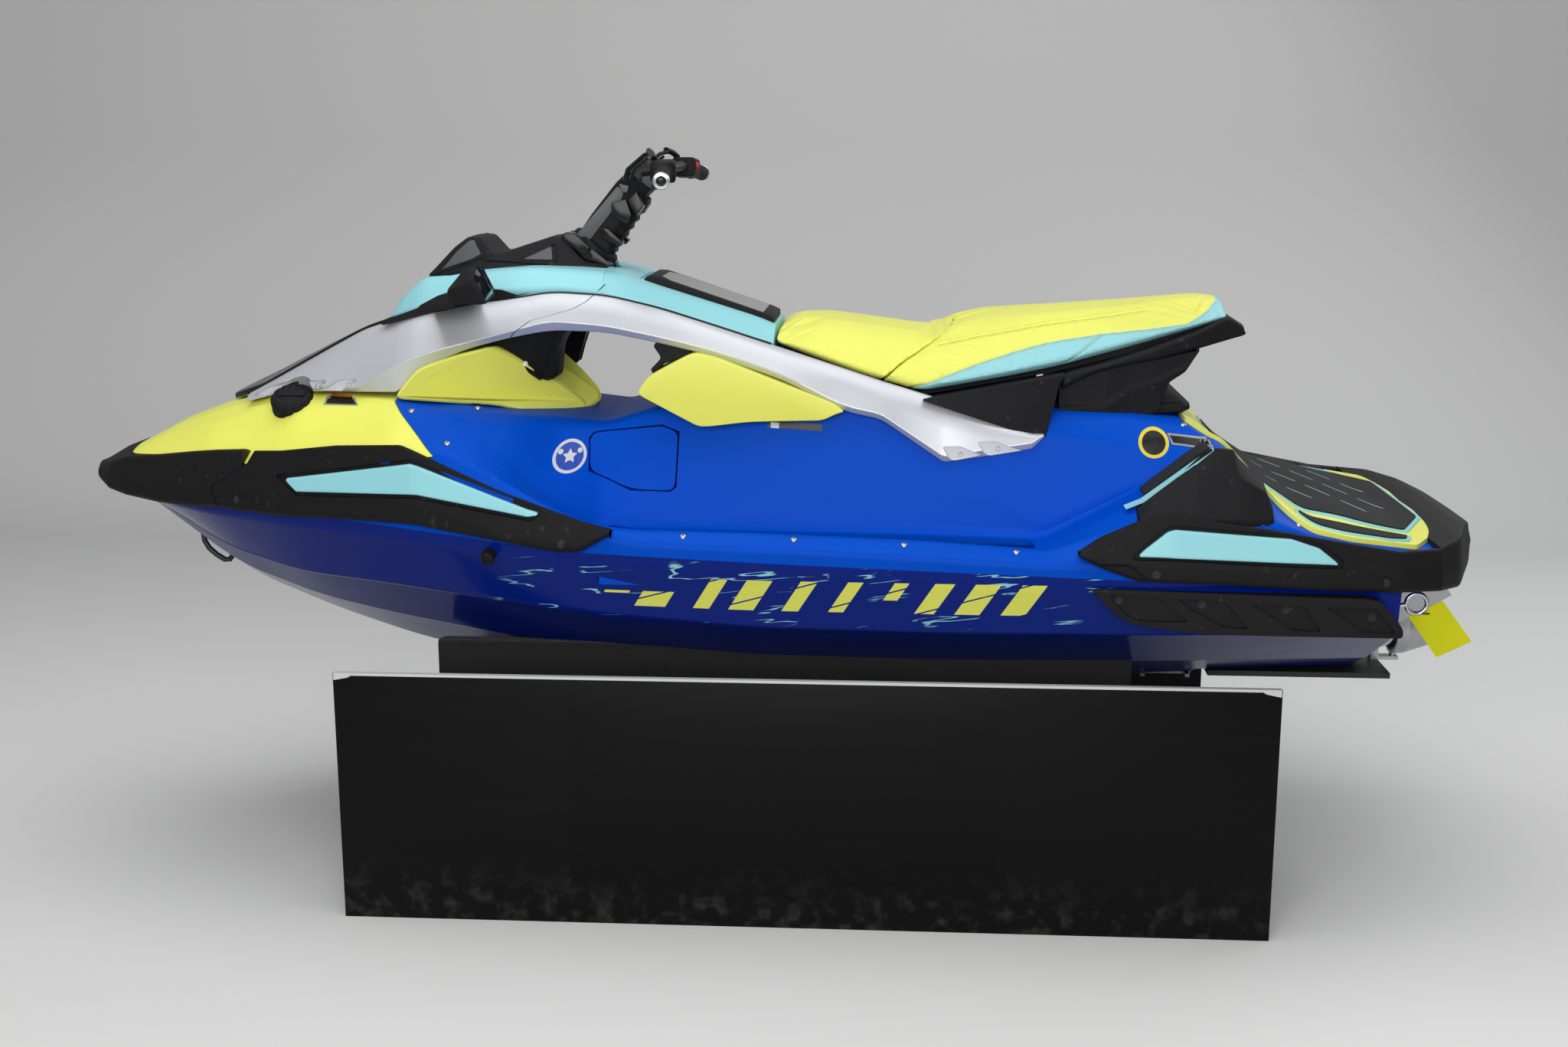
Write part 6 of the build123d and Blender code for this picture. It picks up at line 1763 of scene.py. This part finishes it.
        def inner(share, ahead):
            return [middle + (Vector(p) - middle) * share - aft * ahead for p in rim]

        shape = from_rings("head",
                           [inner(0.9, 3.0), inner(0.9, 0.0), [Vector(p) for p in rim], [Vector(p) for p in fold],
                                    [Vector(p) for p in front]])
        m = shape.modifiers.new("round", "BEVEL")
        m.width, m.segments, m.limit_method, m.angle_limit = 0.0022, 3, "ANGLE", 0.35
        arm = [(718, 1280, 6), (712, 1296, 8), (664, 1321, 10), (640, 1321, 10), (606, 1303, 8), (650, 1289, 10)]
        stalk = plate("stalk", arm, 170, 330, corner=8, edge=5)
        fit(twin(joined("mirror_heads", [applied(shape), stalk])), "black_plastic", stands_for=("mirrors",),
            angle=26)
        glass = from_rings("mirror_glass", [inner(0.86, 1.0), inner(0.86, 2.0)])
        fit(twin(glass), "mirror_glass", angle=30)


def ray_down(thing, x, y, z=2.0):
    """Highest point of a piece below a place."""
    hit, point, normal, _ = thing.ray_cast(Vector((x, y, z)), Vector((0, 0, -1)))
    return (point, normal) if hit else (None, None)


def met(thing, x, y, z):
    """Where the line of sight through a point, in millimetres, meets a piece."""
    eye = Vector((-0.31, 4.112, 1.646))
    hit, point, normal, _ = thing.ray_cast(eye, (Vector((x, y, z)) * 0.001 - eye).normalized())
    return (point, normal) if hit else (None, None)


class FittingOperator(bpy.types.Operator):
    """Fit the fuel cap, sponsons, tow eyes, tag, labels, screws and bolts"""
    bl_idname = "watercraft.fittings"
    bl_label = "Fittings"

    def execute(self, context):
        self.cap()
        self.sponsons()
        self.eyes()
        self.screws(context.scene.watercraft_sizes.screw)
        self.labels()
        outlet = lathe("hull_drain", Vector((544, 500, 797)), Vector((0, 80, -12)),
                       [(-60, 14), (4, 14), (8, 12), (9, 8),
                                                                                     (4, 7), (3, 1)], 24)
        fit(twin(outlet), "black_plastic", stands_for=("hull_outlet",), angle=35)
        return {"FINISHED"}

    def cap(self):
        origin, axis = Vector((1034, 196, 1056)), Vector((0, 0.5, 0.866))
        profile = [(0, 44), (5, 47), (12, 47), (13, 45.5), (16, 45.5), (17, 46.5), (32, 46.5), (37, 44), (40, 40),
                   (41.5, 35),
                   (39, 32), (38.5, 20), (39.5, 16), (39.5, 0.5)]
        cap = lathe("fuel_filler_cap", origin, axis, profile, 120)
        side = axis.orthogonal().normalized()
        up = axis.cross(side)
        for v in cap.data.vertices:
            away = v.co * 1000 - origin
            height = away.dot(axis)
            a = math.atan2(away.dot(up), away.dot(side))
            reach = (away - axis * height).length
            if reach > 34 and height > 16.5:
                v.co -= (away - axis * height).normalized() * 0.0032 * max(0.0, math.cos(a * 12)) ** 3
        bars = [plate("grip_bar", [(-30, -5, 2), (30, -5, 2), (30, 5, 2), (-30, 5, 2)], 37, 43, axis="z", corner=2,
                      edge=1.5)]
        turn = Matrix((Vector((1, 0, 0)), axis.cross(Vector((1, 0, 0))), axis)).transposed().to_4x4()
        bars[0].data.transform(Matrix.Translation(origin * 0.001) @ turn)
        fit(joined("fuel_filler_cap", [cap, *bars]), "black_plastic", stands_for=("fuel_cap",),
            angle=30)

    def sponsons(self):
        outline = [(-682, 758, 3), (-712, 761, 6), (-1221, 748, 10), (-1250, 743, 8), (-1296, 688, 10), (-1296, 669, 8),
                   (-922, 670, 30), (-779, 686, 30), (-745, 697, 20)]
        fin = plate("fin", outline, 440, 543, corner=8, edge=6)
        pockets = [
            [(-716, 750), (-818, 745), (-878, 696), (-786, 695), (-752, 707)],
            [(-850, 744), (-949, 737), (-996, 683), (-944, 686), (-878, 722)],
            [(-996, 736), (-1102, 731), (-1138, 680), (-1078, 682)],
            [(-1142, 731), (-1240, 730), (-1284, 678), (-1216, 681)]]
        carve(fin, "DIFFERENCE", *[plate("pocket", p, 535, 560, corner=9) for p in pockets])
        fit(twin(fin), "black_plastic", stands_for=("sponsons",), angle=30)

    def eyes(self):
        ring = [Vector((-1352, 420, 710)) + Vector((math.cos(a), 0, math.sin(a))) * 21 for a in
                (math.tau * k / 40 for k in range(40))]
        line = Vector((60, 0, -8)).normalized()
        stern = [tube("loop", ring, 4.6, 14, closed=True),
                 tube("shank", [Vector((-1352, 420, 710)) + line * 22, Vector((-1292, 420, 702)) + line * 10], 5, 12)]
        fit(twin(joined("eye_rings", stern)), "chrome", stands_for=("tow_eyes",), angle=40)
        bow = tube("bow_eye", [(1338, 0, 736), (1336, 0, 712), (1326, 0, 694), (1308, 0, 678), (1290, 0, 667), (1278, 0, 668),
                               (1266, 0, 684)], 6.5, 12)
        fit(bow, "black_steel", angle=40)
        band = [Vector((-1371, 420, 689)) + Vector((math.cos(a) * 7, math.sin(a) * 9, math.sin(a) * 3)) for a in
                (math.tau * k / 24 for k in range(24))]
        fit(tube("tag_tie", band, 1.4, 8, closed=True), "black_plastic", angle=40)
        low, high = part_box("stern_tag")
        tag = [(-1338, 682, 3), (-1405, 716, 3), (-1469, 631, 3), (-1401, 596, 3)]
        y = (low.y + high.y) * 500
        card = plate("plain_tag", tag, y - 0.75, y + 0.75, corner=3)
        fit(card, "tag_yellow", stands_for=("stern_tag",), angle=30)

    def screws(self, size):
        shape, bolt = screw_shape(), socket_bolt_shape()
        up = Vector((0, 0, 1))
        deck = bpy.data.objects["deck_shell"]
        places = []
        for x, y in ((138, 512), (-87, 512), (-309, 512), (-534, 510)):
            point, normal = ray_down(deck, x * 0.001, y * 0.001)
            if point is not None:
                places.append((point * 1000, normal, Vector((1, 0, 0))))
        for thing, x, y, z in ((deck, 722, 380, 1082), (deck, 643, 404, 1018), (deck, 593, 330, 1081),
                               (deck, -1101, 450, 876), (deck, -889, 270, 1050)):
            point, normal = met(thing, x, y, z)
            if point is not None:
                places.append((point * 1000, normal, Vector((1, 0, 0))))
        repeat("deck_screws", shape, both_sides(places), "zinc_screw", size)
        bolts = []
        for x, z in ((1122, 880), (382, 836), (-806, 797), (-1258, 780)):
            bolts.append((Vector((x, along(x, belt_plan) - 1.5, z)), Vector((0, 1, 0)), up))
        for x, z in ((-737, 737), (-901, 731), (-1066, 723), (-1234, 710)):
            bolts.append((Vector((x, 536, z)), Vector((0, 1, 0)), up))
        repeat("belt_bolts", bolt, both_sides(bolts), "black_steel", 0.0085)
        small = [(Vector((x, y, z)), Vector((0, 1, 0)), up) for x, y, z in
                 ((-425, 298, 988), (-503, 298, 1001), (505, 252, 1167), (892, 254, 1119), (966, 236, 1112))]
        repeat("arch_bolts", bolt, both_sides(small), "zinc_screw", 0.0055)
        for thing in (shape, bolt):
            bpy.data.objects.remove(thing)

    def labels(self):
        """Bare labels and ribs laid on the deck and the cowl."""
        deck, cowl = bpy.data.objects["deck_shell"], bpy.data.objects["bow_cowl"]

        def disc(x, z, radius):
            return [(x + radius * math.cos(a),
                     z + radius * math.sin(a)) for a in (math.tau * k / 40 for k in range(40))]

        star = []
        for k in range(10):
            a = math.pi / 2 + math.pi * k / 5
            star.append((409 + (15 if k % 2 == 0 else 7.5) * math.cos(a),
                         972 + (15 if k % 2 == 0 else 7.5) * math.sin(a)))
        layers = {
            "label_white": [(deck, disc(409, 972, 33), 0.5), (deck, star, 1.4), (deck, disc(390, 982, 5), 1.4),
                            (deck, disc(428, 982, 5), 1.4),
                            (deck, [(-22, 1047), (-40, 1046), (-40, 1034), (-22, 1035)], 1.0)],
            "label_blue": [(deck, disc(409, 972, 27), 0.9)],
            "label_black": [(deck, [(-15, 1050), (-133, 1044), (-132, 1030), (-14, 1036)], 0.5),
                            (deck, disc(-826, 1016, 24), 0.9),
                            (deck, [(-858, 1032), (-932, 1027), (-938, 1013), (-866, 1018)], 0.9),
                            (cowl, [(949, 1090), (891, 1091), (872, 1079), (949, 1076)], 0.9)],
            "label_yellow": [(deck, disc(-826, 1016, 31), 0.5)],
            "label_grey": [(deck, [(-854, 1036), (-936, 1031), (-943, 1010), (-863, 1014)], 0.5),
                           (cowl, [(954, 1094), (888, 1095), (866, 1077), (954, 1073)], 0.5)],
            "label_orange": [(cowl, [(950, 1092.5), (891, 1093.5), (888, 1090.5), (950, 1089.5)], 1.3)]}
        for finish, pieces in layers.items():
            made = [draped("label", thing, points, proud, 1.2, 0, 9.0) for thing, points, proud in pieces]
            fit(joined("plain_" + finish, made), finish, angle=30)
        ribs = []
        for points in ([(588, 1008), (540, 963)], [(563, 998), (505, 951)], [(-1015, 893), (-1028, 874)],
                       [(-1035, 892), (-1050, 873)]):
            ribs.append(draped("rib", deck, strip_outline(points, 5), 2.0, 3.0, 1))
        fit(twin(joined("deck_ribs", ribs)), "deck_blue", angle=40)


class PumpOperator(bpy.types.Operator):
    """Finish the jet pump, the ride plate, the grate, the engine and the seat base"""
    bl_idname = "watercraft.pump"
    bl_label = "Jet Pump and Engine"

    finishes = {"pump_housing": "pump_alloy", "steering_nozzle": "pump_alloy", "reverse_bucket": "pump_alloy",
                "ride_plate": "black_steel", "intake_grate": "pump_alloy", "impeller": "impeller_steel",
                "engine_block": "engine_grey", "seat_base": "black_plastic", "plinth_frame": "stand_steel"}

    def execute(self, context):
        for node, finish in self.finishes.items():
            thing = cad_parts[node]
            thing.data.materials.clear()
            thing.data.materials.append(bpy.data.materials[finish])
        return {"FINISHED"}


class StandOperator(bpy.types.Operator):
    """Stand the craft on its carpeted bunks between two black panels"""
    bl_idname = "watercraft.stand"
    bl_label = "Display Stand"

    def execute(self, context):
        low, high = (v * 1000 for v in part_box("plinth_skirt"))
        outline = [(low.x, 0), (high.x, 0), (high.x, high.z), (low.x, high.z)]
        board = plate("stand_panel", outline, high.y - 12, high.y, corner=0)
        m = board.modifiers.new("round", "BEVEL")
        m.width, m.segments, m.limit_method = 0.0012, 2, "ANGLE"
        fit(twin(applied(board)), "skirt_black", stands_for=("plinth_skirt",), angle=30)
        top = plate("stand_edge_strip", [(low.x + 2, high.z - 5), (high.x - 2, high.z - 5), (high.x - 2, high.z + 0.6),
                                         (low.x + 2, high.z + 0.6)], high.y - 12.4, high.y + 0.5, corner=0)
        fit(twin(top), "label_white", angle=30)
        flaps = []
        for x, way in ((low.x + 2, 1), (high.x - 2, -1)):
            flaps.append(plate("flap", [(x, high.z + 0.4), (x + 46 * way, high.z + 0.4), (x + 30 * way, high.z - 9),
                                        (x, high.z - 15)], high.y - 1, high.y + 1.2, corner=2))
        fit(twin(joined("stand_corner_flaps", flaps)), "label_white", angle=30)
        bunk_low, bunk_high = (v * 1000 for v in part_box("plinth_bunks"))
        rings = []
        for x in np.arange(bunk_low.x, bunk_high.x + 1, 20.0):
            rings.append(rounded([Vector((x, 175, 392)), Vector((x, 265, 392)), Vector((x, 265, 556)),
                                  Vector((x, 175, 540))], [4, 4, 14, 14], 4))
        bars = from_rings("bunk_pair", rings)
        fit(twin(bars), "bunk_carpet", stands_for=("plinth_bunks",), angle=35)
        return {"FINISHED"}


# ---------------------------------------------------------------- panel and registration
PIECES = (FinishesOperator, StageOperator, HullOperator, DeckOperator, BeltOperator, RearDeckOperator, ArchOperator,
          CoverOperator, PodOperator, TailOperator, SeatOperator, HelmOperator, FittingOperator, PumpOperator,
          StandOperator)


class WatercraftPanel(bpy.types.Panel):
    """Sizes, colours and the pieces in the order they are built"""
    bl_idname = "VIEW3D_PT_watercraft"
    bl_label = "Personal Watercraft"
    bl_space_type = "VIEW_3D"
    bl_region_type = "UI"
    bl_category = "Watercraft"

    def draw(self, context):
        for group in (context.scene.watercraft_colours, context.scene.watercraft_sizes):
            for name in group.__annotations__:
                self.layout.prop(group, name)
        for piece in PIECES:
            self.layout.operator(piece.bl_idname)


CLASSES = (WatercraftColours, WatercraftSizes, *PIECES, WatercraftPanel)


def register():
    for made in CLASSES:
        bpy.utils.register_class(made)
    bpy.types.Scene.watercraft_colours = bpy.props.PointerProperty(type=WatercraftColours)
    bpy.types.Scene.watercraft_sizes = bpy.props.PointerProperty(type=WatercraftSizes)


def unregister():
    del bpy.types.Scene.watercraft_colours
    del bpy.types.Scene.watercraft_sizes
    for made in reversed(CLASSES):
        bpy.utils.unregister_class(made)


def main():
    register()
    for piece in PIECES:
        area, name = piece.bl_idname.split(".")
        getattr(getattr(bpy.ops, area), name)()


if __name__ == "__main__":
    main()
